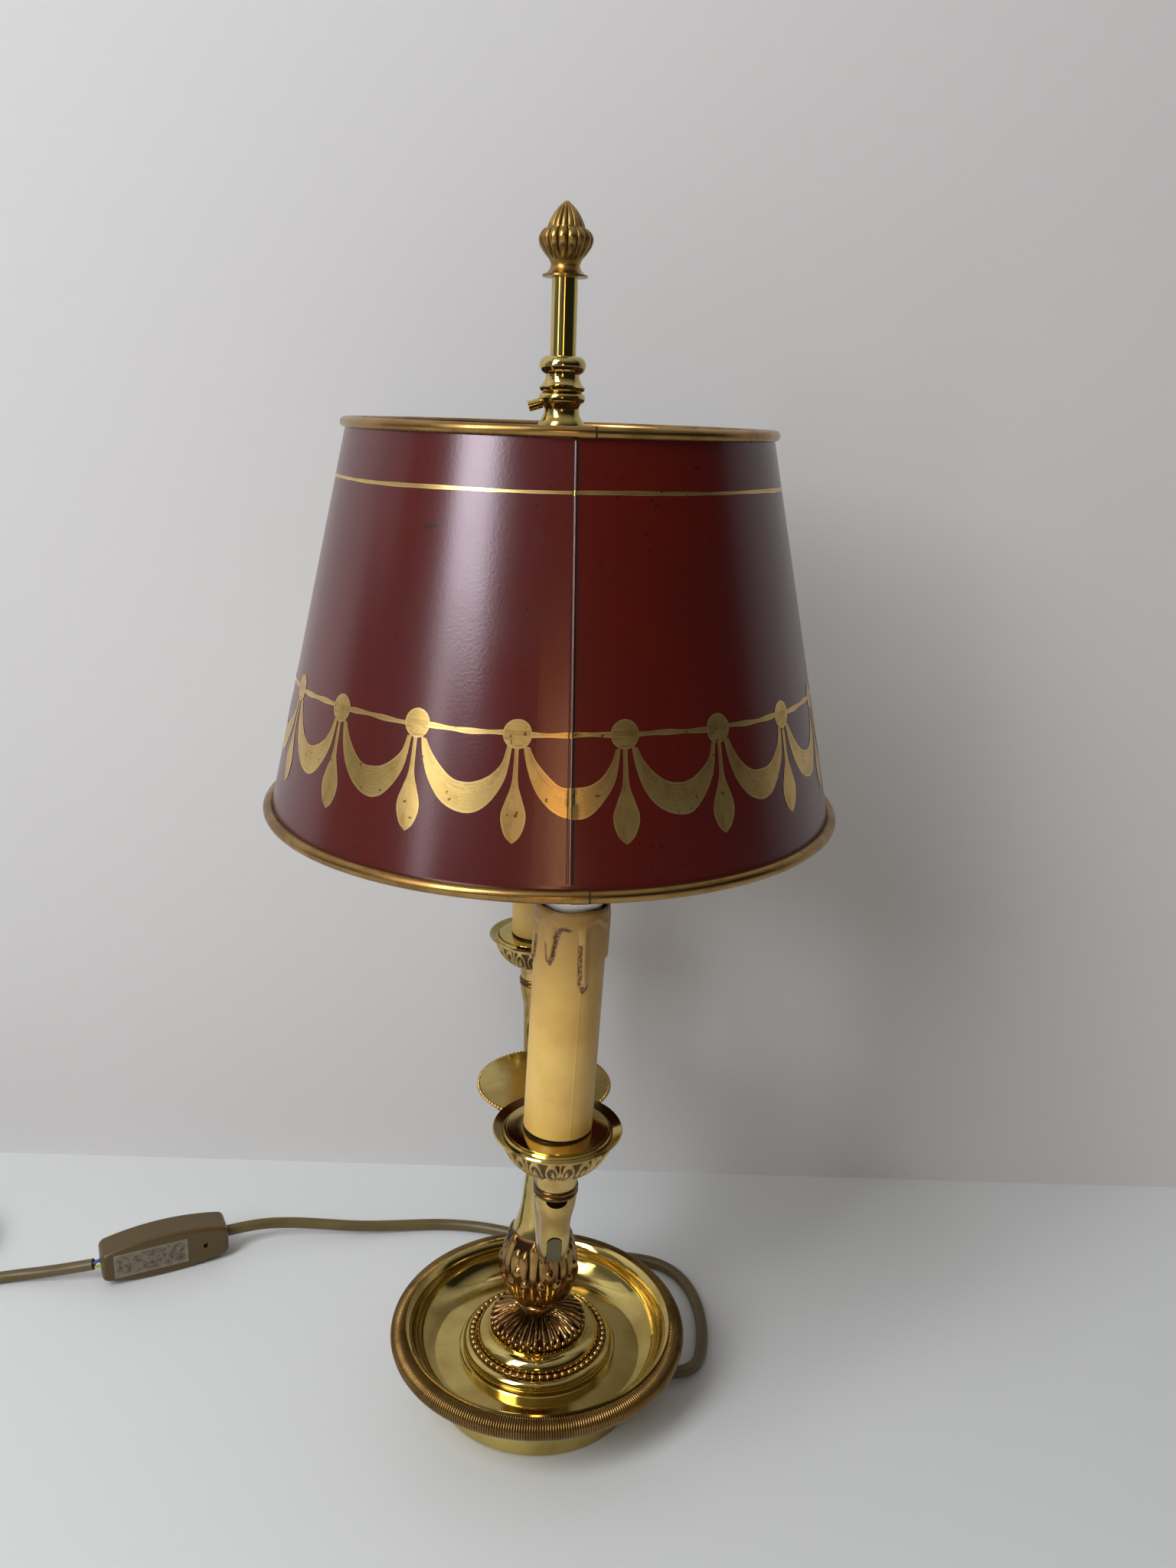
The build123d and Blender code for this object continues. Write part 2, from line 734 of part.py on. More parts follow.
with BuildPart() as finial:
    with BuildSketch(Plane.XZ):
        with BuildLine():
            Line((stud_radius + thread_fit, rod_top), (finial_flange_radius, rod_top))
            Line((finial_flange_radius, rod_top), (finial_flange_radius, rod_top + 0.7))
            ThreePointArc(
                (finial_flange_radius, rod_top + 0.7),
                (finial_neck_radius + 0.9, rod_top + 2.2),
                (finial_neck_radius, rod_top + 4.4),
            )
            Spline(
                (finial_neck_radius, rod_top + 4.4),
                (finial_bulge_radius - 2.6, rod_top + 8.2),
                (finial_bulge_radius, rod_top + 12.8),
                tangents=((0.15, 1), (0, 1)),
            )
            ThreePointArc(
                (finial_bulge_radius, rod_top + 12.8),
                (finial_bulge_radius - 0.55, rod_top + 15.0),
                (finial_cone_radius + 1.2, rod_top + 16.8),
            )
            Line((finial_cone_radius + 1.2, rod_top + 16.8), (finial_cone_radius, rod_top + 17.0))
            ThreePointArc(
                (finial_cone_radius, rod_top + 17.0),
                (finial_cone_radius - 1.8, rod_top + 21.0),
                tip_point(tip_turn),
            )
            ThreePointArc(tip_point(tip_turn), tip_point(tip_turn / 2), tip_point(0))
            Line((0, finial_top), (0, rod_top + stud_length + stack_fit))
            Line(
                (0, rod_top + stud_length + stack_fit),
                (stud_radius + thread_fit, rod_top + stud_length + stack_fit),
            )
            Line((stud_radius + thread_fit, rod_top + stud_length + stack_fit), (stud_radius + thread_fit, rod_top))
        make_face()
    revolve(axis=Axis.Z)
    # Grooves leave lobes round the bulge, and shallower ones flute the cone above it.
    with BuildPart(mode=Mode.PRIVATE) as lobe_groove:
        with BuildLine(Plane.XZ) as lobe_path:
            Spline(
                (finial_neck_radius + 0.6 + lobe_groove_sink, rod_top + 6.4),
                (finial_bulge_radius - 2.6 + lobe_groove_sink, rod_top + 8.2),
                (finial_bulge_radius + lobe_groove_sink, rod_top + 12.8),
                (finial_bulge_radius - 0.9 + lobe_groove_sink, rod_top + 16.2),
                tangents=((0.5, 1), (-0.6, 1)),
            )
        with BuildSketch(Plane(origin=lobe_path.line @ 0, z_dir=lobe_path.line % 0)):
            Circle(lobe_groove_radius)
        sweep(path=lobe_path.line)
        with BuildLine(Plane.XZ) as flute_path:
            ThreePointArc(
                (finial_cone_radius + flute_sink, rod_top + 18.0),
                (finial_cone_radius - 1.0 + flute_sink, rod_top + 20.0),
                (finial_cone_radius - 3.0 + flute_sink, rod_top + 22.6),
            )
        with BuildSketch(Plane(origin=flute_path.line @ 0, z_dir=flute_path.line % 0)):
            Circle(flute_radius)
        sweep(path=flute_path.line)
    with PolarLocations(0, finial_lobes):
        add(lobe_groove.part, mode=Mode.SUBTRACT)
finial.part.label = "finial"
export_step(finial.part, "parts/finial.step")

# ---------------------------------------------------------------- arms and lights
# A V-shaped tongue on the outer side of each collar ring hangs over the flare of its arm.
sleeve_ring_radius = arm_flare_radius + sleeve_ring_proud
cup_neck_radius = sleeve_ring_radius + cup_neck_proud
pan_radius = cup_radius + pan_overhang
pan_ridge_radius = cup_radius - cup_wall - 0.2
holder_radius = sleeve_radius - sleeve_wall - sleeve_clearance
holder_base_radius = sleeve_radius - holder_base_step
socket_bore = bulb_base_radius + socket_clearance
sleeve_length = holder_height + sleeve_proud
bulb_base_length = socket_depth - stack_fit + bulb_lift
cup_bottom = arm_top + sleeve_ring_height
cup_top = cup_bottom + cup_height
pan_floor = cup_top + 0.2
holder_base_top = pan_floor + holder_base_height
socket_top = holder_base_top + holder_height
arm_vertical = arm_top - arm_flare_height

for side, name, lean in ((-1, "front", front_lean), (1, "back", back_lean)):
    light_y = side * arm_reach
    light_axis = Axis((0, light_y, 0), (0, 0, 1))
    turned = Plane(origin=(0, light_y, 0), x_dir=(1, 0, 0), z_dir=(0, -1, 0))

    with BuildPart() as sleeve_ring:
        with BuildSketch(Plane.XY.offset(arm_top)):
            with Locations((0, light_y)):
                Circle(sleeve_ring_radius)
                Circle(tie_radius + thread_fit, mode=Mode.SUBTRACT)
        extrude(amount=sleeve_ring_height)
        with BuildSketch(Plane(origin=(0, light_y, 0), x_dir=(-side, 0, 0), z_dir=(0, side, 0))):
            with BuildLine():
                Polyline(
                    (-tongue_width, arm_top),
                    (tongue_width, arm_top),
                    (0, arm_top - tongue_drop),
                    close=True,
                )
            make_face()
        extrude(amount=sleeve_ring_radius * 2)
        with BuildSketch(Plane.XY.offset(arm_top - tongue_drop)):
            with Locations((0, light_y)):
                Circle(sleeve_ring_radius * 4)
                Circle(sleeve_ring_radius, mode=Mode.SUBTRACT)
        extrude(amount=tongue_drop + sleeve_ring_height, mode=Mode.SUBTRACT)
        with BuildSketch(Plane.XY.offset(arm_top - tongue_drop)):
            with Locations((0, light_y)):
                Circle(sleeve_ring_radius - 1.3)
        extrude(amount=tongue_drop, mode=Mode.SUBTRACT)
    sleeve_ring.part.label = "sleeve_ring_" + name
    export_step(sleeve_ring.part, "parts/sleeve_ring_" + name + ".step")

    # Solid polished arm: out of the hub, down, and up to the cup, with a wiring slot under the bend
    with BuildPart() as arm:
        with BuildLine(Plane.YZ) as arm_path:
            FilletPolyline(
                (side * arm_root, arm_root_height),
                (side * arm_knee, arm_low_height),
                (light_y, arm_low_height),
                (light_y, arm_vertical),
                radius=(arm_knee_radius, arm_bend_radius),
            )
        with BuildSketch(Plane(origin=arm_path.line @ 0, x_dir=(1, 0, 0), z_dir=arm_path.line % 0)):
            Circle(arm_radius)
        sweep(path=arm_path.line)
        with BuildSketch(turned):
            with BuildLine():
                Line((0, arm_vertical), (arm_radius, arm_vertical))
                Spline(
                    (arm_radius, arm_vertical),
                    (arm_flare_radius - 0.55, arm_vertical + arm_flare_height * 0.66),
                    (arm_flare_radius, arm_top),
                    tangents=((0, 1), (0.05, 1)),
                )
                Line((arm_flare_radius, arm_top), (0, arm_top))
                Line((0, arm_top), (0, arm_vertical))
            make_face()
        revolve(axis=light_axis)
        with BuildSketch(Plane.XY.offset(arm_top - nipple_seat - 0.5)):
            with Locations((0, light_y)):
                Circle(tie_radius + thread_fit)
        extrude(amount=nipple_seat + 0.5, mode=Mode.SUBTRACT)
        add(sleeve_ring.part, mode=Mode.SUBTRACT)
        # The slot keeps its depth round the bend and is rounded at its top.
        with BuildPart(mode=Mode.PRIVATE) as slot_bend:
            with BuildSketch(Plane.YZ):
                with Locations((side * (arm_reach - arm_bend_radius), arm_low_height + arm_bend_radius)):
                    Circle(arm_bend_radius + arm_radius * 2)
                    Circle(arm_bend_radius + arm_radius - slot_depth, mode=Mode.SUBTRACT)
            extrude(amount=slot_width, both=True)
            with BuildSketch(Plane.XZ):
                with Locations((0, slot_top - slot_width / 2)):
                    Circle(slot_width / 2)
                with Locations((0, slot_top - slot_width / 2)):
                    Rectangle(slot_width, arm_bend_radius * 3, align=(Align.CENTER, Align.MAX))
            extrude(amount=-light_y * 1.5, mode=Mode.INTERSECT)
            with BuildSketch(Plane.XY.offset(arm_low_height - arm_radius * 2)):
                with Locations((0, side * (arm_reach - arm_bend_radius))):
                    Rectangle(arm_reach, arm_reach, align=(Align.CENTER, Align.MIN if side > 0 else Align.MAX))
            extrude(amount=arm_reach, mode=Mode.INTERSECT)
        add(slot_bend.part, mode=Mode.SUBTRACT)
    arm.part.label = "arm_" + name
    export_step(arm.part, "parts/arm_" + name + ".step")

    with BuildPart() as nipple:
        with BuildSketch(Plane.XY.offset(arm_top - nipple_seat)):
            with Locations((0, light_y)):
                Circle(tie_radius)
                Circle(nipple_bore, mode=Mode.SUBTRACT)
        extrude(amount=nipple_length)
    nipple.part.label = "nipple_" + name
    export_step(nipple.part, "parts/nipple_" + name + ".step")

    # Scroll cup under the pan: neck, ring and hollow bowl
    neck_top = cup_bottom + cup_neck_height
    cup_ring_top = neck_top + cup_ring_height
    with BuildPart() as cup:
        with BuildSketch(turned):
            with BuildLine():
                Line((tie_radius + thread_fit, cup_bottom), (cup_neck_radius - 0.3, cup_bottom))
                Line((cup_neck_radius - 0.3, cup_bottom), (cup_neck_radius, neck_top))
                Line((cup_neck_radius, neck_top), (cup_ring_radius, neck_top))
                Line((cup_ring_radius, neck_top), (cup_ring_radius, cup_ring_top))
                ThreePointArc(
                    (cup_ring_radius, cup_ring_top),
                    (cup_radius * 0.8, cup_ring_top + (cup_top - cup_ring_top) * 0.36),
                    (cup_radius, cup_top),
                )
                Line((cup_radius, cup_top), (cup_radius - cup_wall, cup_top))
                ThreePointArc(
                    (cup_radius - cup_wall, cup_top),
                    (cup_radius * 0.8 - cup_wall, cup_ring_top + (cup_top - cup_ring_top) * 0.36 + cup_wall),
                    (cup_ring_radius, cup_ring_top + 2 * cup_wall),
                )
                Line((cup_ring_radius, cup_ring_top + 2 * cup_wall), (tie_radius + thread_fit, cup_ring_top + 2 * cup_wall))
                Line((tie_radius + thread_fit, cup_ring_top + 2 * cup_wall), (tie_radius + thread_fit, cup_bottom))
            make_face()
        revolve(axis=light_axis)
    cup.part.label = "cup_" + name
    export_step(cup.part, "parts/cup_" + name + ".step")

    with BuildPart() as drip_pan:
        with BuildSketch(turned):
            with BuildLine():
                Polyline(
                    (tie_radius + thread_fit, pan_floor - pan_sheet),
                    (pan_ridge_radius - 0.6, pan_floor - pan_sheet),
                    (pan_ridge_radius + 0.2, cup_top),
                    (cup_radius + 0.1, cup_top),
                    (pan_radius - 0.5, pan_floor + pan_rise - pan_sheet),
                    (pan_radius, pan_floor + pan_rise - pan_sheet / 2),
                    (pan_radius - 0.4, pan_floor + pan_rise),
                    (pan_ridge_radius + 1.0, pan_floor + 0.75),
                    (pan_ridge_radius + 0.5, pan_floor + 0.75),
                    (pan_ridge_radius, pan_floor + 1.3),
                    (pan_ridge_radius - 0.7, pan_floor),
                    (tie_radius + thread_fit, pan_floor),
                    close=True,
                )
            make_face()
        revolve(axis=light_axis)
    drip_pan.part.label = "drip_pan_" + name
    export_step(drip_pan.part, "parts/drip_pan_" + name + ".step")

    # The candle leans about the middle of its base, in the XZ plane.
    lean_plane = Plane(
        origin=(0, light_y, holder_base_top),
        x_dir=(math.cos(math.radians(lean)), 0, -math.sin(math.radians(lean))),
        z_dir=(math.sin(math.radians(lean)), 0, math.cos(math.radians(lean))),
    )
    sleeve_lift = sleeve_radius * math.tan(math.radians(lean))
    with BuildPart() as lampholder:
        with BuildSketch(Plane.XY.offset(pan_floor)):
            with Locations((0, light_y)):
                Circle(holder_base_radius)
        extrude(amount=holder_base_height)
        with BuildSketch(lean_plane.offset(-holder_base_height / 2)):
            Circle(holder_radius)
        extrude(amount=holder_height + holder_base_height / 2)
        with BuildSketch(lean_plane.offset(holder_height - socket_depth)):
            Circle(socket_bore)
        extrude(amount=socket_depth, mode=Mode.SUBTRACT)
        with BuildSketch(Plane.XY.offset(pan_floor)):
            with Locations((0, light_y)):
                Circle(tie_radius + thread_fit)
        extrude(amount=arm_top - nipple_seat + nipple_length - pan_floor + 1.0, mode=Mode.SUBTRACT)
    lampholder.part.label = "lampholder_" + name
    export_step(lampholder.part, "parts/lampholder_" + name + ".step")

    with BuildPart() as candle:
        with BuildSketch(lean_plane.offset(sleeve_lift)):
            Circle(sleeve_radius)
            Circle(sleeve_radius - sleeve_wall, mode=Mode.SUBTRACT)
        extrude(amount=sleeve_length)
    candle.part.label = "candle_" + name
    export_step(candle.part, "parts/candle_" + name + ".step")

    with BuildPart() as bulb_base:
        with BuildSketch(lean_plane.offset(holder_height - socket_depth + stack_fit)):
            Circle(bulb_base_radius)
        extrude(amount=bulb_base_length)
    bulb_base.part.label = "bulb_base_" + name
    export_step(bulb_base.part, "parts/bulb_base_" + name + ".step")

    bulb_seat = holder_height - socket_depth + stack_fit + bulb_base_length
    bulb_plane = Plane(origin=lean_plane.origin, x_dir=lean_plane.x_dir, z_dir=(0, -1, 0))
    with BuildPart() as bulb:
        with BuildSketch(bulb_plane):
            with BuildLine():
                Line((0, bulb_seat), (bulb_base_radius, bulb_seat))
                Spline(
                    (bulb_base_radius, bulb_seat),
                    (bulb_neck_radius, bulb_seat + bulb_mouth_rise),
                    (bulb_radius, bulb_seat + bulb_belly_rise),
                    (bulb_radius * 0.62, bulb_seat + bulb_belly_rise + (bulb_tip_rise - bulb_belly_rise) * 0.62),
                    (0, bulb_seat + bulb_tip_rise),
                    tangents=((1, 0.6), (-1, 0.4)),
                )
                Line((0, bulb_seat + bulb_tip_rise), (0, bulb_seat))
            make_face()
        revolve(axis=Axis(lean_plane.origin, lean_plane.z_dir))
    bulb.part.label = "bulb_" + name
    export_step(bulb.part, "parts/bulb_" + name + ".step")

# ---------------------------------------------------------------- collar on the rod
collar_top = rod_top - collar_drop
collar_flange_height = collar_top - collar_flange_drop
screw_height = collar_top - screw_drop
collar_bore = rod_radius + run_fit
screw_out = Vector(-math.cos(math.radians(screw_tilt)), 0, -math.sin(math.radians(screw_tilt)))
screw_plane = Plane(
    origin=Vector(-screw_face, 0, screw_height),
    x_dir=(0, 1, 0),
    z_dir=screw_out,
)
screw_tip = (screw_face - rod_radius - screw_tip_gap - screw_radius * math.sin(math.radians(screw_tilt))) / math.cos(
    math.radians(screw_tilt)
)
with BuildPart() as collar:
    with BuildSketch(Plane.XZ):
        with BuildLine():
            Line((collar_bore, collar_top), (collar_neck_radius, collar_top))
            ThreePointArc(
                (collar_neck_radius, collar_top),
                (collar_bead_radius, collar_top - 3.2),
                (collar_neck_radius, collar_top - 6.6),
            )
            Line((collar_neck_radius, collar_top - 6.6), (collar_neck_radius, collar_top - 7.6))
            ThreePointArc(
                (collar_neck_radius, collar_top - 7.6),
                (collar_neck_radius + 0.8, collar_top - 9.8),
                (collar_bead_radius, collar_top - 11.5),
            )
            ThreePointArc(
                (collar_bead_radius, collar_top - 11.5),
                (collar_bead_radius - 0.4, collar_top - 12.5),
                (collar_waist_radius + 0.5, collar_top - 13.3),
            )
            ThreePointArc(
                (collar_waist_radius + 0.5, collar_top - 13.3),
                (collar_bead_radius, collar_top - 15.5),
                (collar_waist_radius + 0.5, collar_top - 17.4),
            )
            ThreePointArc(
                (collar_waist_radius + 0.5, collar_top - 17.4),
                (collar_waist_radius, collar_top - 20.8),
                (collar_waist_radius + 1.2, collar_top - 23.4),
            )
            ThreePointArc(
                (collar_waist_radius + 1.2, collar_top - 23.4),
                (collar_flange_radius - 0.3, collar_top - 24.9),
                (collar_flange_radius, collar_top - 26.2),
            )
            Line((collar_flange_radius, collar_top - 26.2), (collar_flange_radius, collar_flange_height))
            Line((collar_flange_radius, collar_flange_height), (collar_stem_radius, collar_flange_height))
            Line(
                (collar_stem_radius, collar_flange_height),
                (collar_stem_radius, collar_flange_height - collar_stem_length),
            )
            Line(
                (collar_stem_radius, collar_flange_height - collar_stem_length),
                (collar_bore, collar_flange_height - collar_stem_length),
            )
            Line((collar_bore, collar_flange_height - collar_stem_length), (collar_bore, collar_top))
        make_face()
    revolve(axis=Axis.Z)
    with BuildSketch(screw_plane):
        Circle(screw_radius + thread_fit)
    extrude(amount=-screw_tip - 1.5, mode=Mode.SUBTRACT)
    with BuildSketch(screw_plane):
        Circle(screw_radius + thread_fit)
    extrude(amount=collar_bead_radius, mode=Mode.SUBTRACT)
    with BuildSketch(screw_plane):
        Circle(screw_head_radius + 0.3)
    extrude(amount=collar_bead_radius, mode=Mode.SUBTRACT)
collar.part.label = "collar"
export_step(collar.part, "parts/collar.step")

with BuildPart() as thumb_screw:
    with BuildSketch(screw_plane.offset(-screw_tip)):
        Circle(screw_radius)
    extrude(amount=screw_tip + 0.2)
    with BuildSketch(screw_plane.offset(0.2)):
        Circle(screw_head_radius)
    extrude(amount=screw_head_length)
thumb_screw.part.label = "thumb_screw"
export_step(thumb_screw.part, "parts/thumb_screw.step")

spider_top = collar_flange_height - 0.05
spider_bottom = spider_top - spider_thickness
with BuildPart() as ring_nut:
    with BuildSketch(Plane.XY.offset(spider_bottom - ring_nut_height)):
        Circle(ring_nut_radius)
        Circle(collar_stem_radius + thread_fit, mode=Mode.SUBTRACT)
    extrude(amount=ring_nut_height)
    chamfer(ring_nut.edges().filter_by(GeomType.CIRCLE).group_by(Axis.Z)[0].sort_by(SortBy.RADIUS)[-1], 0.6)
ring_nut.part.label = "ring_nut"
export_step(ring_nut.part, "parts/ring_nut.step")

# ---------------------------------------------------------------- shade
shade_top = collar_flange_height + shade_top_rise
shade_bottom = shade_top - shade_height
slope = (shade_bottom_radius - shade_top_radius) / shade_height
shade_inset = shade_sheet * math.sqrt(1 + slope * slope)
lap_start = math.radians(-90 - lap_angle)
lap_shift = (lap_height * math.cos(math.radians(lap_angle)) + lap_sink) / math.sin(math.radians(lap_angle))
lap_plane = Plane(
    origin=(lap_shift, -lap_height, 0),
    x_dir=(math.cos(lap_start), math.sin(lap_start), 0),
    z_dir=(math.sin(lap_start), -math.cos(lap_start), 0),
)


def cone_at(height, inset):
    """A point of the shade's cone at a height, set in from its outer face."""
    return (shade_bottom_radius - slope * (height - shade_bottom) - inset, height)


with BuildPart() as shade_shell:
    with BuildSketch(Plane.XZ):
        with BuildLine():
            Polyline(
                cone_at(shade_bottom, 0),
                cone_at(shade_top, 0),
                cone_at(shade_top, shade_inset),
                cone_at(shade_bottom, shade_inset),
                close=True,
            )
        make_face()
    revolve(axis=Axis.Z)
    # The sheet's end laps over at the front: it rises out of the cone round an axis set to one side.
    with BuildPart(mode=Mode.PRIVATE) as lap:
        with BuildSketch(lap_plane):
            with BuildLine():
                Polyline(
                    cone_at(shade_bottom + lap_margin, shade_inset * 0.75),
                    cone_at(shade_top - lap_margin, shade_inset * 0.75),
                    cone_at(shade_top - lap_margin, 0),
                    cone_at(shade_bottom + lap_margin, 0),
                    close=True,
                )
            make_face()
        revolve(axis=Axis(lap_plane.origin, (0, 0, 1)), revolution_arc=lap_angle)
        with BuildSketch(Plane.YZ.offset(lap_edge)):
            Rectangle(shade_bottom_radius * 3, shade_top * 3)
        extrude(amount=shade_bottom_radius, mode=Mode.SUBTRACT)
    add(lap.part)
shade_shell.part.label = "shade_shell"
export_step(shade_shell.part, "parts/shade_shell.step")

for name, height, offset_out, section, groove_up in (
    ("bottom", shade_bottom, bottom_rim_offset, bottom_rim_section, 1),
    ("top", shade_top, top_rim_offset, top_rim_section, -1),
):
    rim_radius = cone_at(height, 0)[0] + offset_out
    joint = math.degrees(rim_joint_width / rim_radius)
    joint_turn = -math.pi / 2 + rim_joint_offset / rim_radius
    rim_plane = Plane(
        origin=(0, 0, 0),
        x_dir=(math.cos(joint_turn), math.sin(joint_turn), 0),
        z_dir=(math.sin(joint_turn), -math.cos(joint_turn), 0),
    )
    sleeve_turn = joint_turn - rim_sleeve_length / rim_radius
    sleeve_plane = Plane(
        origin=(0, 0, 0),
        x_dir=(math.cos(sleeve_turn), math.sin(sleeve_turn), 0),
        z_dir=(math.sin(sleeve_turn), -math.cos(sleeve_turn), 0),
    )
    with BuildPart() as shade_rim:
        with BuildSketch(rim_plane):
            with Locations((rim_radius, height)):
                Circle(section)
        revolve(axis=Axis.Z, revolution_arc=360 - joint)
        with BuildSketch(sleeve_plane):
            with Locations((rim_radius, height)):
                Circle(section + rim_sleeve_height)
        revolve(axis=Axis.Z, revolution_arc=math.degrees(rim_sleeve_length / rim_radius) - joint)
        with BuildSketch(Plane.XZ):
            with BuildLine():
                Polyline(
                    cone_at(height, -shade_fit),
                    cone_at(height + groove_up * section * 1.5, -shade_fit),
                    cone_at(height + groove_up * section * 1.5, shade_inset + shade_fit),
                    cone_at(height, shade_inset + shade_fit),
                    close=True,
                )
            make_face()
        revolve(axis=Axis.Z, mode=Mode.SUBTRACT)
    shade_rim.part.label = "shade_rim_" + name
    export_step(shade_rim.part, "parts/shade_rim_" + name + ".step")

top_rim_radius = shade_top_radius + top_rim_offset
with BuildPart() as spider:
    with BuildSketch(Plane.XY.offset(spider_bottom)):
        Circle(spider_hub_radius)
    extrude(amount=spider_thickness)
    spider_rise = math.degrees(math.atan2(shade_top - (spider_bottom + spider_top) / 2, top_rim_radius))
    for turn in (90, 210, 330):
        heading = math.radians(turn)
        rise = math.radians(spider_rise)
        bar_plane = Plane(
            origin=(0, 0, (spider_bottom + spider_top) / 2),
            x_dir=(-math.sin(heading), math.cos(heading), 0),
            z_dir=(
                math.cos(heading) * math.cos(rise),
                math.sin(heading) * math.cos(rise),
                math.sin(rise),
            ),
        )
        with BuildSketch(bar_plane.offset(spider_hub_radius * 0.8)):
            RectangleRounded(spider_bar_width, spider_bar_thickness, spider_bar_thickness * 0.4)
        extrude(amount=top_rim_radius / math.cos(rise) - spider_hub_radius * 0.8)
    with BuildSketch(Plane.XZ):
        with Locations((top_rim_radius, shade_top)):
            Circle(top_rim_section + 0.02)
    revolve(axis=Axis.Z, mode=Mode.SUBTRACT)
    with BuildSketch(Plane.XY.offset(spider_bottom - spider_thickness)):
        Circle(collar_stem_radius + run_fit)
    extrude(amount=spider_thickness * 3, mode=Mode.SUBTRACT)
spider.part.label = "spider"
export_step(spider.part, "parts/spider.step")

# ---------------------------------------------------------------- cord
cord_height = cord_radius + cord_gap


def corner_radii(points):
    """For each corner, 0.45 of the shorter run over the tangent of half the turn."""
    vectors = [Vector(*point) for point in points]
    radii = []
    for before, here, after in zip(vectors, vectors[1:], vectors[2:]):
        run_in = here - before
        run_out = after - here
        turn = math.radians(run_in.get_angle(run_out))
        radii.append(0.45 * min(run_in.length, run_out.length) / math.tan(turn / 2))
    return radii


with BuildPart() as strain_relief:
    with BuildSketch(exit_plane.offset(foot_radius - relief_inside)):
        Circle(relief_radius - 0.1)
    extrude(amount=relief_inside)
    with BuildSketch(exit_plane.offset(foot_radius)):
        Circle(relief_flange_radius)
    extrude(amount=relief_flange)
    with BuildSketch(exit_plane.offset(foot_radius + relief_flange)):
        Circle(relief_radius)
    with BuildSketch(exit_plane.offset(foot_radius + relief_length - relief_inside)):
        Circle(relief_tip_radius)
    loft()
strain_relief.part.label = "strain_relief"
export_step(strain_relief.part, "parts/strain_relief.step")

relief_tip = exit_plane.offset(foot_radius + relief_length - relief_inside).origin
relief_run = exit_plane.offset(foot_radius + relief_length - relief_inside + 8.9).origin

switch_turn = math.radians(switch_angle)
switch_middle = switch_height / 2
switch_out = Vector(math.cos(switch_turn), math.sin(switch_turn), 0)
switch_centre = Vector(switch_x, switch_y, switch_middle)
gland_depth = 3.0
cord_in = switch_centre + switch_out * (switch_length / 2 - gland_depth)
cord_near = switch_centre + switch_out * (switch_length / 2 + 16.0)

base_route = [
    (relief_tip.X, relief_tip.Y, relief_tip.Z),
    (relief_run.X, relief_run.Y, relief_run.Z),
    (75.2, -2.6, 5.0),
    (81.2, 4.4, 3.6),
    (85.2, 17.0, cord_height),
    (87.6, 33.0, cord_height + 0.02),
    (87.2, 50.0, cord_height),
    (84.0, 64.5, cord_height + 0.02),
    (77.5, 76.0, cord_height),
    (68.0, 83.3, cord_height + 0.02),
    (56.5, 86.8, cord_height),
    (43.0, 89.2, cord_height + 0.02),
    (27.5, 94.0, cord_height),
    (9.0, 103.6, cord_height + 0.02),
    (-10.5, 112.3, cord_height),
    (-31.0, 119.0, cord_height + 0.02),
    (-52.0, 121.6, cord_height),
    (-74.0, 119.9, 3.8),
    (-96.0, 117.6, 5.3),
    (-117.0, 117.6, 7.4),
    (-135.0, 116.5, 9.8),
    (cord_near.X, cord_near.Y, cord_near.Z),
    (cord_in.X, cord_in.Y, cord_in.Z),
]

sheath_gap = 3.5
sheath_start = Vector(switch_x, switch_y, 0) - switch_out * (switch_length / 2 + sheath_gap)
coil_outer_turn = coil_turn_radius + cord_radius * (coil_columns - 1)


def on_coil(radius, angle):
    """A point in plan round the coil's middle."""
    turn = math.radians(angle)
    return (coil_x + radius * math.cos(turn), coil_y + radius * math.sin(turn))


plug_route = [
    (sheath_start.X, sheath_start.Y + 0.2, 11.0),
    (-245.5, 81.6, 8.8),
    (-258.5, 83.2, 5.7),
    (-272.0, 84.2, 3.5),
    (-286.0, 82.2, cord_height),
    (-300.0, 76.8, cord_height + 0.02),
    (-316.0, 69.6, cord_height),
    (*on_coil(coil_outer_turn, 280), cord_height + 0.02),
    (*on_coil(coil_outer_turn + 0.8, 262), cord_height),
]

coil_height = 2 * cord_radius * coil_layers
end_height = cord_gap + coil_height - cord_radius
plug_middle = plug_thickness / 2
plug_tip = Vector(coil_x - coil_outer_turn - plug_clear, coil_y + plug_aside, plug_middle)
plug_turn = math.radians(97.0)
plug_out = Vector(math.cos(plug_turn), math.sin(plug_turn), 0)
plug_near = plug_tip - plug_out * plug_straight
end_route = [
    (*on_coil(coil_outer_turn, 230), end_height),
    (coil_x - coil_outer_turn + 1.0, coil_y - coil_outer_turn / 2, end_height - 0.6),
    (coil_x - coil_outer_turn - plug_clear / 2 - 1.0, coil_y - coil_outer_turn / 4, end_height - 1.2),
    (plug_near.X, plug_near.Y, plug_near.Z),
    (plug_tip.X, plug_tip.Y, plug_tip.Z),
]

for name, route in (("cord_base", base_route), ("cord_plug", plug_route), ("cord_end", end_route)):
    radii = corner_radii(route)
    print(name, "radii", [round(radius, 1) for radius in radii])
    with BuildPart() as cord:
        with BuildLine() as cord_path:
            FilletPolyline(*route, radius=radii)
        with BuildSketch(Plane(origin=cord_path.line @ 0, z_dir=cord_path.line % 0)):
            Circle(cord_radius)
        sweep(path=cord_path.line)
    length = sum(edge.length for edge in cord_path.edges())
    print(name, "length", round(length, 1), "share", round(cord.part.volume / (math.pi * cord_radius**2 * length), 4))
    cord.part.label = name
    export_step(cord.part, "parts/" + name + ".step")

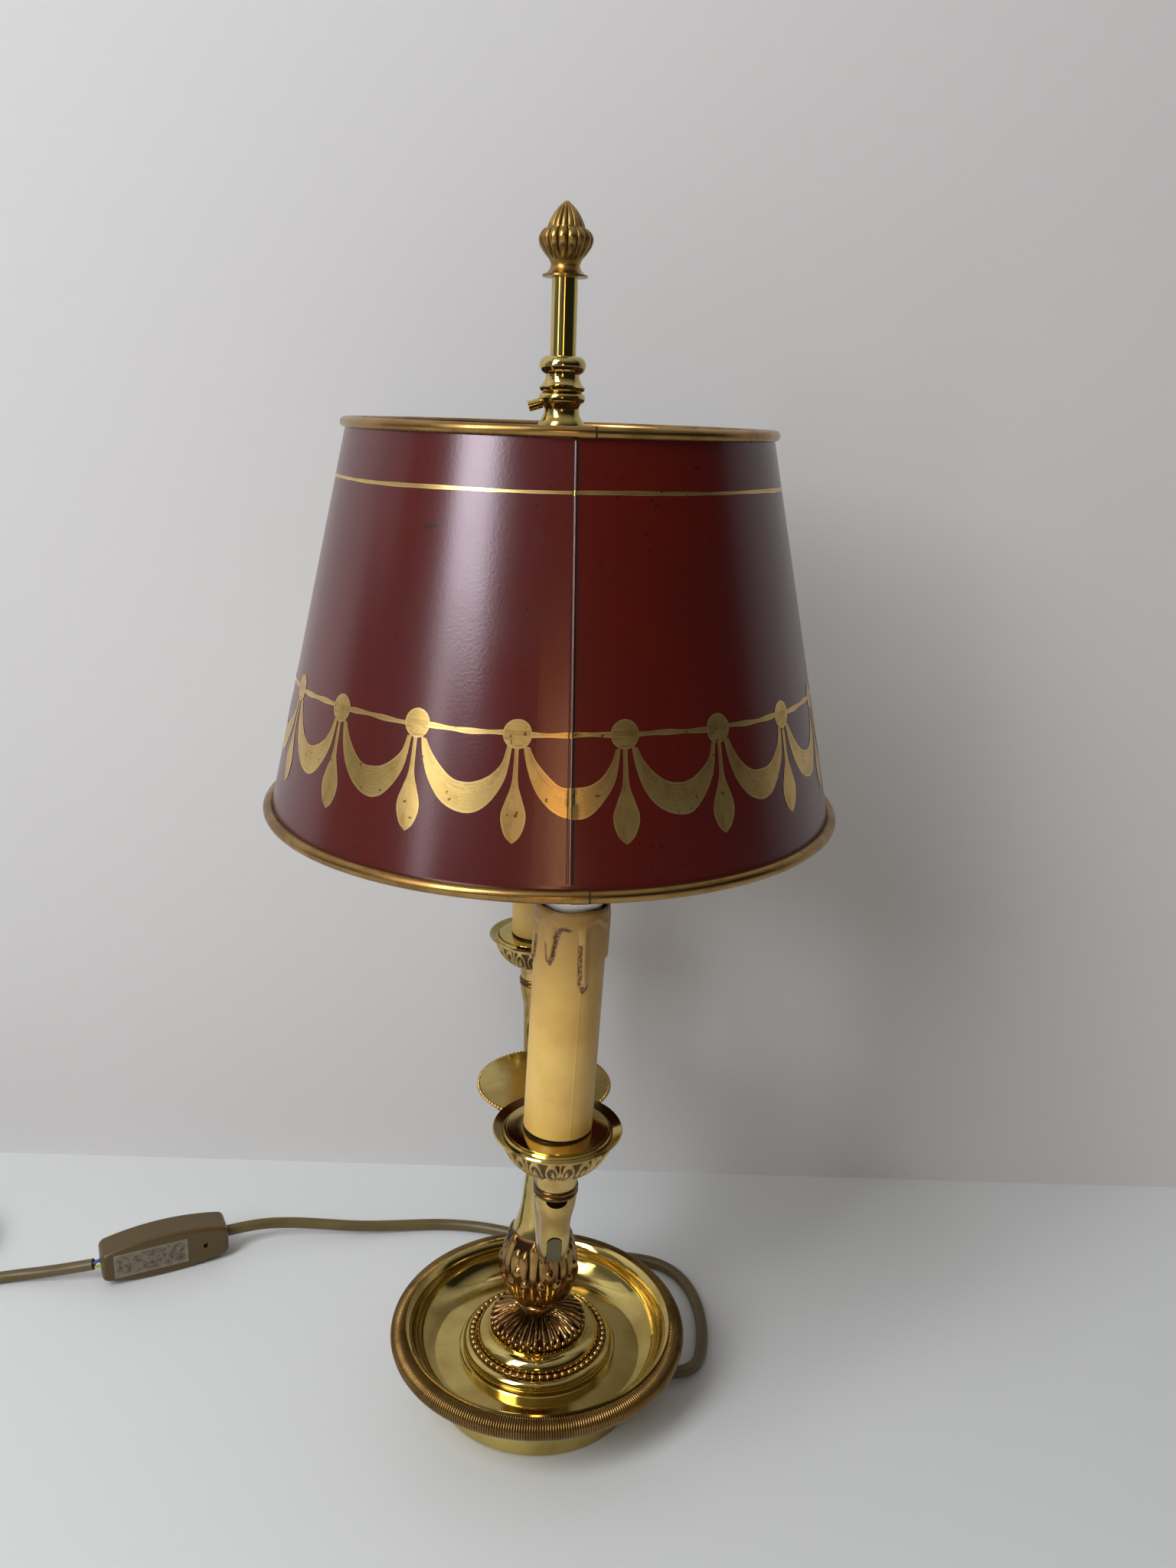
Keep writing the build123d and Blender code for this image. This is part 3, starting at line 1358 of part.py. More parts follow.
# The unused length lies wound in a flat coil.
coil_half = cord_radius * coil_columns
with BuildPart() as cord_coil:
    with BuildSketch(Plane(origin=(coil_x, coil_y, cord_gap), x_dir=(1, 0, 0), z_dir=(0, -1, 0))):
        with Locations((coil_turn_radius, coil_height / 2)):
            RectangleRounded(2 * coil_half, coil_height, cord_radius * 0.9)
    revolve(axis=Axis((coil_x, coil_y, 0), (0, 0, 1)))
cord_coil.part.label = "cord_coil"
export_step(cord_coil.part, "parts/cord_coil.step")

# ---------------------------------------------------------------- in-line switch
# It stands on its long edge, its flat face to the front and its rocker behind.
face_plane = Plane(
    origin=switch_centre - Vector(-math.sin(switch_turn), math.cos(switch_turn), 0) * (switch_thickness / 2),
    x_dir=switch_out,
    z_dir=(math.sin(switch_turn), -math.cos(switch_turn), 0),
)
split_plane = face_plane.offset(-switch_thickness / 2)
back_plane = face_plane.offset(-switch_thickness)
gland_radius = cord_radius + 0.1
with BuildSketch(Plane.XY) as switch_outline:
    with BuildLine():
        Line((-switch_length / 2, -switch_end_height / 2), (-switch_length / 2, switch_end_height / 2))
        ThreePointArc(
            (-switch_length / 2, switch_end_height / 2),
            (0, switch_height / 2),
            (switch_length / 2, switch_end_height / 2),
        )
        Line((switch_length / 2, switch_end_height / 2), (switch_length / 2, -switch_end_height / 2))
        ThreePointArc(
            (switch_length / 2, -switch_end_height / 2),
            (0, -switch_height / 2),
            (-switch_length / 2, -switch_end_height / 2),
        )
    make_face()
    fillet(switch_outline.vertices(), switch_corner)

rocker_pivot = switch_thickness / 2 - rocker_depth
rocker_radius = rocker_length / 2
pocket_half = rocker_radius + rocker_gap
for name, up in (("front", 1), ("back", -1)):
    with BuildPart() as switch_shell:
        with BuildSketch(split_plane):
            add(switch_outline.sketch)
        extrude(amount=up * switch_thickness / 2)
        fillet(switch_shell.faces().sort_by(Axis(split_plane.origin, split_plane.z_dir * up))[-1].edges(), switch_edge)
        for end in (1, -1):
            gland_plane = Plane(
                origin=split_plane.origin + switch_out * (end * switch_length / 2),
                x_dir=(0, 0, 1),
                z_dir=switch_out * end,
            )
            with BuildSketch(gland_plane):
                Circle(gland_radius)
            extrude(amount=-gland_depth - 0.1, mode=Mode.SUBTRACT)
        if up > 0:
            # Screw hole from the front, with the screw sunk in it
            with BuildSketch(face_plane):
                with Locations((switch_screw_offset, 0)):
                    SlotOverall(3.6, 2.2, rotation=90)
            extrude(amount=-switch_thickness / 2, mode=Mode.SUBTRACT)
        else:
            # Window for the rocker with its two pin holes
            with BuildSketch(back_plane):
                Rectangle(2 * pocket_half, rocker_width)
            extrude(amount=switch_thickness / 2 - 1.2, mode=Mode.SUBTRACT)
            pin_plane = Plane(
                origin=split_plane.origin - split_plane.z_dir * rocker_pivot,
                x_dir=switch_out,
                z_dir=(0, 0, 1),
            )
            with BuildSketch(pin_plane):
                Circle(rocker_pin_radius + run_fit)
            extrude(amount=rocker_width / 2 + 1.8, both=True, mode=Mode.SUBTRACT)
    switch_shell.part.label = "switch_" + name
    export_step(switch_shell.part, "parts/switch_" + name + ".step")

with BuildPart() as switch_screw:
    with BuildSketch(face_plane.offset(-switch_thickness / 2)):
        with Locations((switch_screw_offset, 0)):
            Circle(1.05)
    extrude(amount=switch_thickness / 2 - 2.5)
switch_screw.part.label = "switch_screw"
export_step(switch_screw.part, "parts/switch_screw.step")

# The rocker turns on its pins; its two faces meet in a shallow V and one side is pressed.
rocker_plane = pin_plane.rotated((0, 0, rocker_throw))
rocker_top = rocker_depth + 0.2
rocker_bottom = -rocker_pivot + 3.0
with BuildPart() as switch_rocker:
    with BuildSketch(rocker_plane):
        Circle(rocker_radius)
        with BuildLine():
            Polyline(
                (-rocker_length, rocker_bottom),
                (rocker_length, rocker_bottom),
                (rocker_length, rocker_top + 1.4),
                (0, rocker_top - 0.4),
                (-rocker_length, rocker_top + 1.4),
                close=True,
            )
        make_face(mode=Mode.INTERSECT)
    extrude(amount=rocker_width / 2 - rocker_gap, both=True)
    with BuildSketch(pin_plane):
        Circle(rocker_pin_radius)
    extrude(amount=rocker_width / 2 + 1.5, both=True)
switch_rocker.part.label = "switch_rocker"
export_step(switch_rocker.part, "parts/switch_rocker.step")

# Bare cores between the switch and the cut sheath
wire_radius = 0.8
sheath_out = Vector(*plug_route[1]) - Vector(*plug_route[0])
sheath_plane = Plane(origin=plug_route[0], x_dir=(0, 0, 1), z_dir=sheath_out)
for name, across, rise, sag in (("brown", 0.95, 0.5, 0.1), ("blue", -0.8, 1.0, 0.5), ("earth", -0.8, -0.9, -0.7)):
    side_step = Vector(-math.sin(switch_turn), math.cos(switch_turn), 0) * across
    wire_from = switch_centre - switch_out * (switch_length / 2 - 2.4) + side_step + Vector(0, 0, rise)
    wire_to = sheath_plane.from_local_coords(Vector(rise, across, -0.4))
    wire_mid = (wire_from + wire_to) * 0.5 + Vector(0, -0.5 * abs(sag), sag)
    with BuildPart() as wire:
        with BuildLine() as wire_path:
            ThreePointArc(wire_from, wire_mid, wire_to)
        with BuildSketch(Plane(origin=wire_path.line @ 0, z_dir=wire_path.line % 0)):
            Circle(wire_radius)
        sweep(path=wire_path.line)
    wire.part.label = "wire_" + name
    export_step(wire.part, "parts/wire_" + name + ".step")

# ---------------------------------------------------------------- plug
plug_plane = Plane(
    origin=plug_tip,
    x_dir=(math.sin(plug_turn), -math.cos(plug_turn), 0),
    z_dir=plug_out,
)
with BuildPart() as plug:
    with BuildSketch(plug_plane):
        Circle(relief_tip_radius)
    with BuildSketch(plug_plane.offset(plug_relief_length)):
        Circle(relief_radius + 1.0)
    loft()
    with BuildSketch(plug_plane.offset(plug_relief_length)):
        RectangleRounded(plug_width * 0.55, plug_thickness * 0.8, plug_thickness * 0.35)
    with BuildSketch(plug_plane.offset(plug_relief_length + plug_length * 0.45)):
        RectangleRounded(plug_width, plug_thickness, plug_thickness * 0.35)
    loft()
    with BuildSketch(plug_plane.offset(plug_relief_length + plug_length * 0.45)):
        RectangleRounded(plug_width, plug_thickness, plug_thickness * 0.35)
    extrude(amount=plug_length * 0.55)
plug.part.label = "plug"
export_step(plug.part, "parts/plug.step")

pin_start = plug_relief_length + plug_length
for name, place in (("live", -pin_pitch), ("earth", 0), ("neutral", pin_pitch)):
    with BuildPart() as plug_pin:
        with BuildSketch(plug_plane.offset(pin_start)):
            with Locations((place, 0)):
                Circle(pin_radius)
        extrude(amount=pin_length)
        fillet(plug_pin.faces().sort_by(Axis(plug_tip, plug_out))[-1].edges(), pin_radius * 0.6)
    plug_pin.part.label = "plug_pin_" + name
    export_step(plug_pin.part, "parts/plug_pin_" + name + ".step")
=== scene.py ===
import math
import random
import bmesh
import bpy
from mathutils import Matrix, Vector


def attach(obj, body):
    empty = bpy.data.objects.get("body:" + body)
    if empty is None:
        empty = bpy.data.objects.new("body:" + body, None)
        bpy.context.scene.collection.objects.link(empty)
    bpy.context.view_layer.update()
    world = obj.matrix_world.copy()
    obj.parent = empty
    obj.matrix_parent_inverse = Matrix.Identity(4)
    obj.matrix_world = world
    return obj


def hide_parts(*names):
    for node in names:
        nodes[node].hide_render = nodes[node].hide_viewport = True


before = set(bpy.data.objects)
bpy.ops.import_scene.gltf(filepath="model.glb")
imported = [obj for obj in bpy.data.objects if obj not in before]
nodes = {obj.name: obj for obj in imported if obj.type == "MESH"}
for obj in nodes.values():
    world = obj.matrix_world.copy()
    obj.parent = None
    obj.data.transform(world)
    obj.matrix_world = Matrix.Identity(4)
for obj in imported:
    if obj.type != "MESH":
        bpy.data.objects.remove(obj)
for spare in ("Cube", "Light", "Camera"):
    if spare in bpy.data.objects:
        bpy.data.objects.remove(bpy.data.objects[spare])
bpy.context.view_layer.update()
mm = 0.001

# ------------------------------------------------------------------ foot
# A drum spun from brass sheet, weighted inside, on a felt pad. It is polished like the dish above it,
# and the polish has dulled in soft patches with fine lines left by the lathe.


def fill(node, inputs):
    """Sets or links a node's inputs, given as {socket: value}."""
    for socket, value in inputs.items():
        if isinstance(value, bpy.types.NodeSocket):
            node.id_data.links.new(value, node.inputs[socket])
        else:
            node.inputs[socket].default_value = value
    return node


def put(tree, kind, inputs=(), **settings):
    """Adds a node to a tree, sets its properties and fills its inputs."""
    made = tree.nodes.new(kind)
    for name, value in settings.items():
        setattr(made, name, value)
    return fill(made, dict(inputs))


def math_of(operation, first, second=0.0):
    """A Math node's result. One of the two is a socket."""
    tree = (first if isinstance(first, bpy.types.NodeSocket) else second).id_data
    return put(tree, "ShaderNodeMath", {0: first, 1: second}, operation=operation).outputs[0]


def times(first, second):
    """A product."""
    return math_of("MULTIPLY", first, second)


def mix(factor, first, second):
    """Two colours mixed by a factor."""
    pair = [c if isinstance(c, bpy.types.NodeSocket) else (*c, 1) for c in (first, second)]
    sockets = {0: factor, 6: pair[0], 7: pair[1]}
    return put(factor.id_data, "ShaderNodeMix", sockets, data_type="RGBA").outputs[2]


def ramp(value, low, high, to_low=0.0, to_high=1.0, ends="SMOOTHSTEP"):
    """A value stretched from one range to another, with soft ends."""
    sockets = {0: value, 1: low, 2: high, 3: to_low, 4: to_high}
    return put(value.id_data, "ShaderNodeMapRange", sockets, interpolation_type=ends).outputs[0]


def spread(value, low, high):
    """A value from 0 to 1 laid evenly over another range."""
    return ramp(value, 0.0, 1.0, low, high, "LINEAR")


def object_place(tree):
    """The place on the object."""
    return tree.nodes.new("ShaderNodeTexCoord").outputs["Object"]


def depth_in(tree):
    """How deep in the carving, how burnt or how near an edge a place is, from 0 to 1."""
    return put(tree, "ShaderNodeAttribute", attribute_name="depth").outputs["Fac"]


def shader_group(name, inputs, outputs):
    """A new shader node group with named number inputs and outputs."""
    tree = bpy.data.node_groups.new(name, "ShaderNodeTree")
    for socket, value in inputs.items():
        made = tree.interface.new_socket(name=socket, in_out="INPUT", socket_type="NodeSocketFloat")
        made.default_value = value
    for socket in outputs:
        tree.interface.new_socket(name=socket, in_out="OUTPUT", socket_type="NodeSocketFloat")
    return tree, tree.nodes.new("NodeGroupInput").outputs, tree.nodes.new("NodeGroupOutput")


def noise(place, scale, detail=4.0, roughness=0.55):
    """A noise value at a place, about 0.5 in the middle."""
    sockets = {"Vector": place, "Scale": scale, "Detail": detail, "Roughness": roughness}
    return put(place.id_data, "ShaderNodeTexNoise", sockets).outputs[0]


def use_group(tree, group, **values):
    """Places a shader group and sets its inputs, whose spaces are written as underscores."""
    made = put(tree, "ShaderNodeGroup", node_tree=group)
    for socket, value in values.items():
        made.inputs[socket.replace("_", " ")].default_value = value
    return made.outputs


# Soft dull patches, small dark specks and the lathe's fine lines, which run round the upright axis.
metal_age, given, result = shader_group(
    "metal_age",
    {"Patch Scale": 35.0, "Speck Scale": 900.0, "Speck Share": 0.3, "Line Scale": 2500.0},
    ["Patches", "Specks", "Lines"],
)
place = object_place(metal_age)
patch = noise(place, given["Patch Scale"], 5.0, 0.6)
speck = noise(place, given["Speck Scale"], 2.0)
threshold = math_of("SUBTRACT", 0.80, times(given["Speck Share"], 0.18))
specks = times(math_of("SUBTRACT", speck, threshold), 14.0)
flat = put(metal_age, "ShaderNodeMapping", {"Vector": place, "Scale": (0.02, 0.02, 1.0)}).outputs[0]
fill(
    result,
    {
        "Patches": ramp(patch, 0.40, 0.68),
        "Specks": put(metal_age, "ShaderNodeClamp", {0: specks}).outputs[0],
        "Lines": noise(flat, given["Line Scale"], 2.0),
    },
)


def new_paint(name):
    """A new material, with its tree and its shader."""
    made = bpy.data.materials.new(name)
    made.use_nodes = True
    return made, made.node_tree, made.node_tree.nodes["Principled BSDF"]


def metal(name, bright, dull, recess, shine, dulled, lines=0.1, patches=35.0):
    """A metal finish: bright and dull colour in patches, a darker one in the depths of a casting."""
    made, tree, shader = new_paint(name)
    age = use_group(tree, metal_age, Patch_Scale=patches)
    depth = depth_in(tree)
    colour = mix(age["Patches"], bright, dull)
    colour = mix(age["Specks"], colour, [0.35 * c for c in dull])
    rough = math_of("ADD", spread(age["Patches"], shine, dulled), times(depth, 0.25))
    bump = put(tree, "ShaderNodeBump", {"Strength": lines, "Distance": 0.0001, "Height": age["Lines"]})
    colour = mix(depth, colour, recess)
    fill(shader, {"Base Color": colour, "Roughness": rough, "Normal": bump.outputs[0], "Metallic": 1.0})
    return made


polished_brass = metal(
    "polished_brass", (0.60, 0.47, 0.165), (0.45, 0.325, 0.10), (0.14, 0.07, 0.015), 0.08, 0.18, lines=0.05
)
antique_brass = metal(
    "antique_brass", (0.46, 0.30, 0.09), (0.28, 0.165, 0.045), (0.045, 0.018, 0.006), 0.26, 0.40, patches=60.0
)


def plain(name, colour, second, roughness, grain_scale=400.0, bump=0.05, metallic=0.0):
    """A plain finish whose colour and height waver a little."""
    made, tree, shader = new_paint(name)
    grain = noise(object_place(tree), grain_scale)
    wave = put(tree, "ShaderNodeBump", {"Strength": bump, "Distance": 0.0003, "Height": grain}).outputs[0]
    fill(shader, {"Base Color": mix(grain, colour, second), "Normal": wave})
    fill(shader, {"Roughness": roughness, "Metallic": metallic})
    return made


def wear(paint, *members):
    """Gives CAD pieces a finish."""
    for member in members:
        for place in nodes[member].material_slots:
            place.material = paint


felt = plain("felt", (0.03, 0.06, 0.035), (0.05, 0.09, 0.05), 0.95, 1500.0, 0.6)
iron = plain("weight_iron", (0.10, 0.10, 0.10), (0.05, 0.05, 0.05), 0.6, 300.0, 0.4, 1.0)
steel = plain("steel", (0.52, 0.52, 0.50), (0.40, 0.39, 0.37), 0.32, 500.0, 0.05, 1.0)
wear(polished_brass, "foot", "dish")
wear(felt, "felt_pad")
wear(iron, "weight")
wear(steel, "washer", "nut", "tie_tube")

# ------------------------------------------------------------------ reeded ring of the dish
# A rolled brass tube, darkened, with close ribs across it all the way round. The dish's edge is rolled
# over it. The ribs are a rule on a smooth ring, so Geometry Nodes make them.


def geometry_tree(name, inputs):
    """A new Geometry Nodes tree with named inputs, given as {name: (socket type, value)}."""
    tree = bpy.data.node_groups.new(name, "GeometryNodeTree")
    tree.interface.new_socket(name="Geometry", in_out="OUTPUT", socket_type="NodeSocketGeometry")
    for socket, (kind, value) in inputs.items():
        made = tree.interface.new_socket(name=socket, in_out="INPUT", socket_type="NodeSocket" + kind)
        if value is not None:
            made.default_value = value
    return tree, tree.nodes.new("NodeGroupInput").outputs


def ending(tree, geometry, paint):
    """Closes a tree: real meshes instead of instances, smooth shading, and the material."""
    real = put(tree, "GeometryNodeRealizeInstances", {0: geometry}).outputs[0]
    smooth = put(tree, "GeometryNodeSetShadeSmooth", {0: real}).outputs[0]
    painted = put(tree, "GeometryNodeSetMaterial", {"Geometry": smooth, "Material": paint}).outputs[0]
    put(tree, "NodeGroupOutput", {0: painted})


def stood(name, data):
    """A new object in the scene."""
    made = bpy.data.objects.new(name, data)
    bpy.context.scene.collection.objects.link(made)
    return made


def fitted(made, body, stands_for):
    """Puts a piece on its body and in place of CAD pieces."""
    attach(made, body)
    if stands_for:
        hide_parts(*stands_for)
    return made


def grown(name, tree, body, slot, stands_for=(), **values):
    """The plain mesh that a Geometry Nodes tree makes with these inputs, as a piece on a body."""
    seed = stood(name + "_seed", bpy.data.meshes.new(name + "_seed"))
    change = seed.modifiers.new("tree", "NODES")
    change.node_group = tree
    for item in tree.interface.items_tree:
        key = item.name.replace(" ", "_")
        if item.in_out == "INPUT" and key in values:
            change[item.identifier] = values[key]
    graph = bpy.context.evaluated_depsgraph_get()
    ready = seed.evaluated_get(graph)
    mesh = bpy.data.meshes.new_from_object(ready, preserve_all_data_layers=True, depsgraph=graph)
    bpy.data.objects.remove(seed)
    mesh.name = name
    return fitted(stood(name, mesh), body, stands_for)


reeds, given = geometry_tree(
    "reeded_tube",
    {
        "Ribs": ("Int", 380),
        "Ring Radius": ("Float", 65.7 * mm),
        "Tube Radius": ("Float", 4.9 * mm),
        "Groove": ("Float", 0.46 * mm),
        "Height": ("Float", 31.5 * mm),
        "Material": ("Material", None),
    },
)
steps_per_rib = 6.0
steps = times(given["Ribs"], steps_per_rib)
path = put(reeds, "GeometryNodeCurvePrimitiveCircle", {"Resolution": steps, "Radius": given["Ring Radius"]})
section = put(reeds, "GeometryNodeCurvePrimitiveCircle", {"Resolution": 18, "Radius": given["Tube Radius"]})
sweep = {"Curve": path.outputs[0], "Profile Curve": section.outputs[0]}
ring = put(reeds, "GeometryNodeCurveToMesh", sweep).outputs[0]
position = reeds.nodes.new("GeometryNodeInputPosition").outputs[0]
spot = put(reeds, "ShaderNodeSeparateXYZ", {0: position}).outputs
turn = math_of("ARCTAN2", spot["Y"], spot["X"])
phase = times(turn, times(given["Ribs"], 0.5))
crest = math_of("POWER", math_of("ABSOLUTE", math_of("SINE", phase)), 0.8)
valley = math_of("SUBTRACT", 1.0, crest)
kept = {"Geometry": ring, "Name": "depth", "Value": valley}
ring = put(reeds, "GeometryNodeStoreNamedAttribute", kept, data_type="FLOAT").outputs[0]
inward = reeds.nodes.new("GeometryNodeInputNormal").outputs[0]
for share in (times(valley, given["Groove"]), -1.0):
    inward = put(reeds, "ShaderNodeVectorMath", {0: inward, "Scale": share}, operation="SCALE").outputs[0]
lift = put(reeds, "ShaderNodeCombineXYZ", {"Z": given["Height"]}).outputs[0]
ring = put(reeds, "GeometryNodeSetPosition", {"Geometry": ring, "Offset": inward}).outputs[0]
ring = put(reeds, "GeometryNodeTransform", {"Geometry": ring, "Translation": lift}).outputs[0]
ending(reeds, ring, given["Material"])

ring_bronze = metal(
    "ring_bronze", (0.29, 0.172, 0.052), (0.145, 0.076, 0.023), (0.010, 0.004, 0.002), 0.22, 0.34, patches=50.0
)
grown("reeded_ring", reeds, "base", "antique_brass", ["rim_ring"], Material=ring_bronze)

# ------------------------------------------------------------------ pedestal
# A turned and polished casting of steps and a torus, with a ring of small round beads cast in a groove
# that has gone dark.
wear(polished_brass, "pedestal")

beads, given = geometry_tree(
    "ring_of_beads",
    {
        "Count": ("Int", 56),
        "Ring Radius": ("Float", 31.5 * mm),
        "Bead Radius": ("Float", 1.15 * mm),
        "Height": ("Float", 28.55 * mm),
        "Material": ("Material", None),
    },
)
ring = {"Vertices": given["Count"], "Radius": given["Ring Radius"]}
posts = put(beads, "GeometryNodeMeshCircle", ring).outputs[0]
lift = put(beads, "ShaderNodeCombineXYZ", {"Z": given["Height"]}).outputs[0]
posts = put(beads, "GeometryNodeTransform", {"Geometry": posts, "Translation": lift}).outputs[0]
bead = {"Segments": 14, "Rings": 8, "Radius": given["Bead Radius"]}
ball = put(beads, "GeometryNodeMeshUVSphere", bead).outputs[0]
row = put(beads, "GeometryNodeInstanceOnPoints", {"Points": posts, "Instance": ball}).outputs[0]
ending(beads, row, given["Material"])


def arc(start, middle, end, steps=8):
    """Points on the arc from start through middle to end, without start."""
    ax, ay = start
    bx, by = middle
    cx, cy = end
    d = 2 * (ax * (by - cy) + bx * (cy - ay) + cx * (ay - by))
    a, b, c = ax * ax + ay * ay, bx * bx + by * by, cx * cx + cy * cy
    ux = (a * (by - cy) + b * (cy - ay) + c * (ay - by)) / d
    uy = (a * (cx - bx) + b * (ax - cx) + c * (bx - ax)) / d
    radius = math.hypot(ax - ux, ay - uy)
    first = math.atan2(ay - uy, ax - ux)
    sweep = (math.atan2(cy - uy, cx - ux) - first) % math.tau
    through = (math.atan2(by - uy, bx - ux) - first) % math.tau
    if through > sweep:
        sweep -= math.tau
    turns = [first + sweep * k / steps for k in range(1, steps + 1)]
    return [(ux + radius * math.cos(t), uy + radius * math.sin(t)) for t in turns]


def flow(points, steps=8):
    """Points on a smooth line through the given ones, all included."""
    line = [points[0]]
    padded = [points[0], *points, points[-1]]
    for a, b, c, d in zip(padded, padded[1:], padded[2:], padded[3:]):
        for k in range(1, steps + 1):
            t = k / steps
            spot = []
            for p, q, r, s in zip(a, b, c, d):
                curved = (2 * p - 5 * q + 4 * r - s) * t * t + (3 * q - p - 3 * r + s) * t**3
                spot.append(0.5 * (2 * q + (r - p) * t + curved))
            line.append(tuple(spot))
    return line


def ring_faces(rings, around):
    """The faces between closed rings of points, of which the last joins the first."""
    faces = []
    for k in range(rings):
        here, there = k * around, (k + 1) % rings * around
        for j in range(around):
            i = (j + 1) % around
            faces.append((here + j, here + i, there + i, there + j))
    return faces


def sheet_faces(rows, width):
    """The faces of an open sheet of points that are given row by row."""
    spots = [width * k + j for k in range(rows - 1) for j in range(width - 1)]
    return [(a, a + 1, a + width + 1, a + width) for a in spots]


def turned(outline, around, relief=None, centre=0.0):
    """A closed outline of (radius, height) turned round an upright axis, which stands at this distance
    behind the rod. relief(angle, radius, height, k) gives each point its outward shift, its upward shift
    and its depth."""
    points, depths = [], []
    for k, (radius, height) in enumerate(outline):
        for j in range(around):
            angle = math.tau * j / around
            out, up, depth = relief(angle, radius, height, k) if relief else (0.0, 0.0, 0.0)
            r = radius + out
            points.append((r * math.cos(angle), centre + r * math.sin(angle), height + up))
            depths.append(depth)
    return points, ring_faces(len(outline), around), depths


def piece(name, shape, paint, body, stands_for=(), closed=True):
    """A smooth-shaded piece from points in millimetres, faces and depths."""
    points, faces, depths = shape
    mesh = bpy.data.meshes.new(name)
    mesh.from_pydata([(x * mm, y * mm, z * mm) for x, y, z in points], [], faces)
    depth = mesh.attributes.new("depth", "FLOAT", "POINT")
    depth.data.foreach_set("value", depths)
    work = bmesh.new()
    work.from_mesh(mesh)
    bmesh.ops.remove_doubles(work, verts=work.verts, dist=0.002 * mm)
    if closed:
        bmesh.ops.recalc_face_normals(work, faces=work.faces)
    work.to_mesh(mesh)
    work.free()
    mesh.shade_smooth()
    mesh.set_sharp_from_angle(angle=math.radians(40))
    mesh.materials.append(paint)
    return fitted(stood(name, mesh), body, stands_for)


groove_dark = metal(
    "groove_dark", (0.20, 0.115, 0.036), (0.11, 0.055, 0.018), (0.008, 0.004, 0.002), 0.18, 0.30, patches=120.0
)
groove_line = [(30.1, 27.7), (33.2, 27.7), (33.2, 27.86), (32.5, 27.9)]
groove_line += arc(groove_line[-1], (31.5, 28.8), (30.5, 27.9), 10) + [(30.1, 27.9)]
piece("bead_groove", turned(groove_line, 192), groove_dark, "base")
bead_brass = metal(
    "bead_brass", (0.70, 0.46, 0.16), (0.50, 0.30, 0.10), (0.05, 0.02, 0.01), 0.16, 0.30, patches=90.0
)
grown("pedestal_beads", beads, "base", "polished_brass", Material=bead_brass)

# ------------------------------------------------------------------ acanthus dome and urn
# Two castings with carved acanthus leaves: a low dome whose leaves hang down, and an urn whose leaves
# stand up and curl out at their tips. Both are darkened, and rubbed bright on the high places.


def step(low, high, value):
    """0 below low, 1 above high, and a soft rise between."""
    t = min(max((value - low) / (high - low), 0.0), 1.0)
    return t * t * (3 - 2 * t)


def across_of(angle, count, shift=0.0):
    """Where an angle lies on a form repeated round a ring: -1 to 1 from edge to edge."""
    turns = angle / math.tau * count + shift
    return 2 * (turns - math.floor(turns)) - 1


def leaf(across, along, top, pitch, half, fall=0.10, sway=0.0):
    """Height from 0 to 1 of a carved leaf of three round fingers, and how near a finger's tip the place is:
    across is -1 to 1 from edge to edge, along 0 to 1 from root to tip. The middle finger is the longest."""
    best, tip = 0.0, 0.0
    for finger in (-1, 0, 1):
        reach = top - fall * abs(finger)
        opening = pitch * (0.62 + 0.38 * min(1.0, along / 0.55))
        centre = finger * (opening + sway * math.sin(math.tau * along))
        over = max(0.0, along - (reach - 0.10)) / 0.10
        wide = half * (0.80 + 0.35 * step(reach - 0.35, reach - 0.08, along))
        q = ((across - centre) / wide) ** 2 + over * over
        if q < 1:
            high = math.sqrt(1 - q) * (1.0 - 0.08 * abs(finger))
            if high > best:
                best, tip = high, step(reach - 0.26, reach - 0.07, along)
    return best, tip


dome_bottom, dome_top, dome_edge, dome_neck, dome_leaves = 34.8, 43.8, 22.6, 6.6, 12
dome_out, dome_up = 0.4, 0.85  # how far the carving stands out and up
dome_line = [(5.4, dome_bottom), (dome_edge - 0.4, dome_bottom)]
dome_line += arc(dome_line[-1], (dome_edge, dome_bottom + 0.4), (dome_edge - 0.1, dome_bottom + 0.8), 4)
dome_line += flow([(22.5, 35.6), (20.4, 38.2), (16.6, 40.3), (12.4, 41.6), (8.9, 42.6), (6.7, 43.8)], 9)[1:]
dome_line += [(5.4, dome_top)]


def dome_relief(angle, radius, height, k):
    """Leaves that hang from the neck to the edge, with a second row showing between their tips."""
    if radius < 6.0 or height < dome_bottom + 0.1:
        return 0.0, 0.0, 0.0
    along = 1.0 - (dome_edge + 0.2 - radius) / (dome_edge - dome_neck)
    across = across_of(angle, dome_leaves)
    front, tip = leaf(across, along, 1.0, 0.60, 0.165, 0.0)
    back, _ = leaf(across_of(angle, dome_leaves, 0.5), along, 0.78, 0.30, 0.10, 0.10)
    vein = 0.5 * (1 - step(0.03, 0.09, abs(abs(across) - 0.30)))
    high = max(front, 0.70 * back, vein * step(0.2, 0.4, along) * (1 - step(0.78, 0.9, along)))
    lift = (high + 0.75 * front * tip) * step(0.0, 0.18, along)
    return lift * dome_out, lift * dome_up, (1.0 - min(1.0, high * 1.1)) * (1.0 - 0.5 * tip)


cast_bronze = metal(
    "cast_bronze", (0.40, 0.245, 0.085), (0.22, 0.105, 0.038), (0.020, 0.007, 0.005), 0.15, 0.26, patches=90.0
)
shape = turned(dome_line, 384, dome_relief)
piece("acanthus_cap", shape, cast_bronze, "base", ["acanthus_dome"])
bead = {"Count": 3 * dome_leaves, "Ring_Radius": 22.0 * mm, "Bead_Radius": 0.95 * mm, "Height": 36.5 * mm}
grown("leaf_tip_beads", beads, "base", "antique_brass", Material=bead_brass, **bead)
wear(antique_brass, "dome_ring")

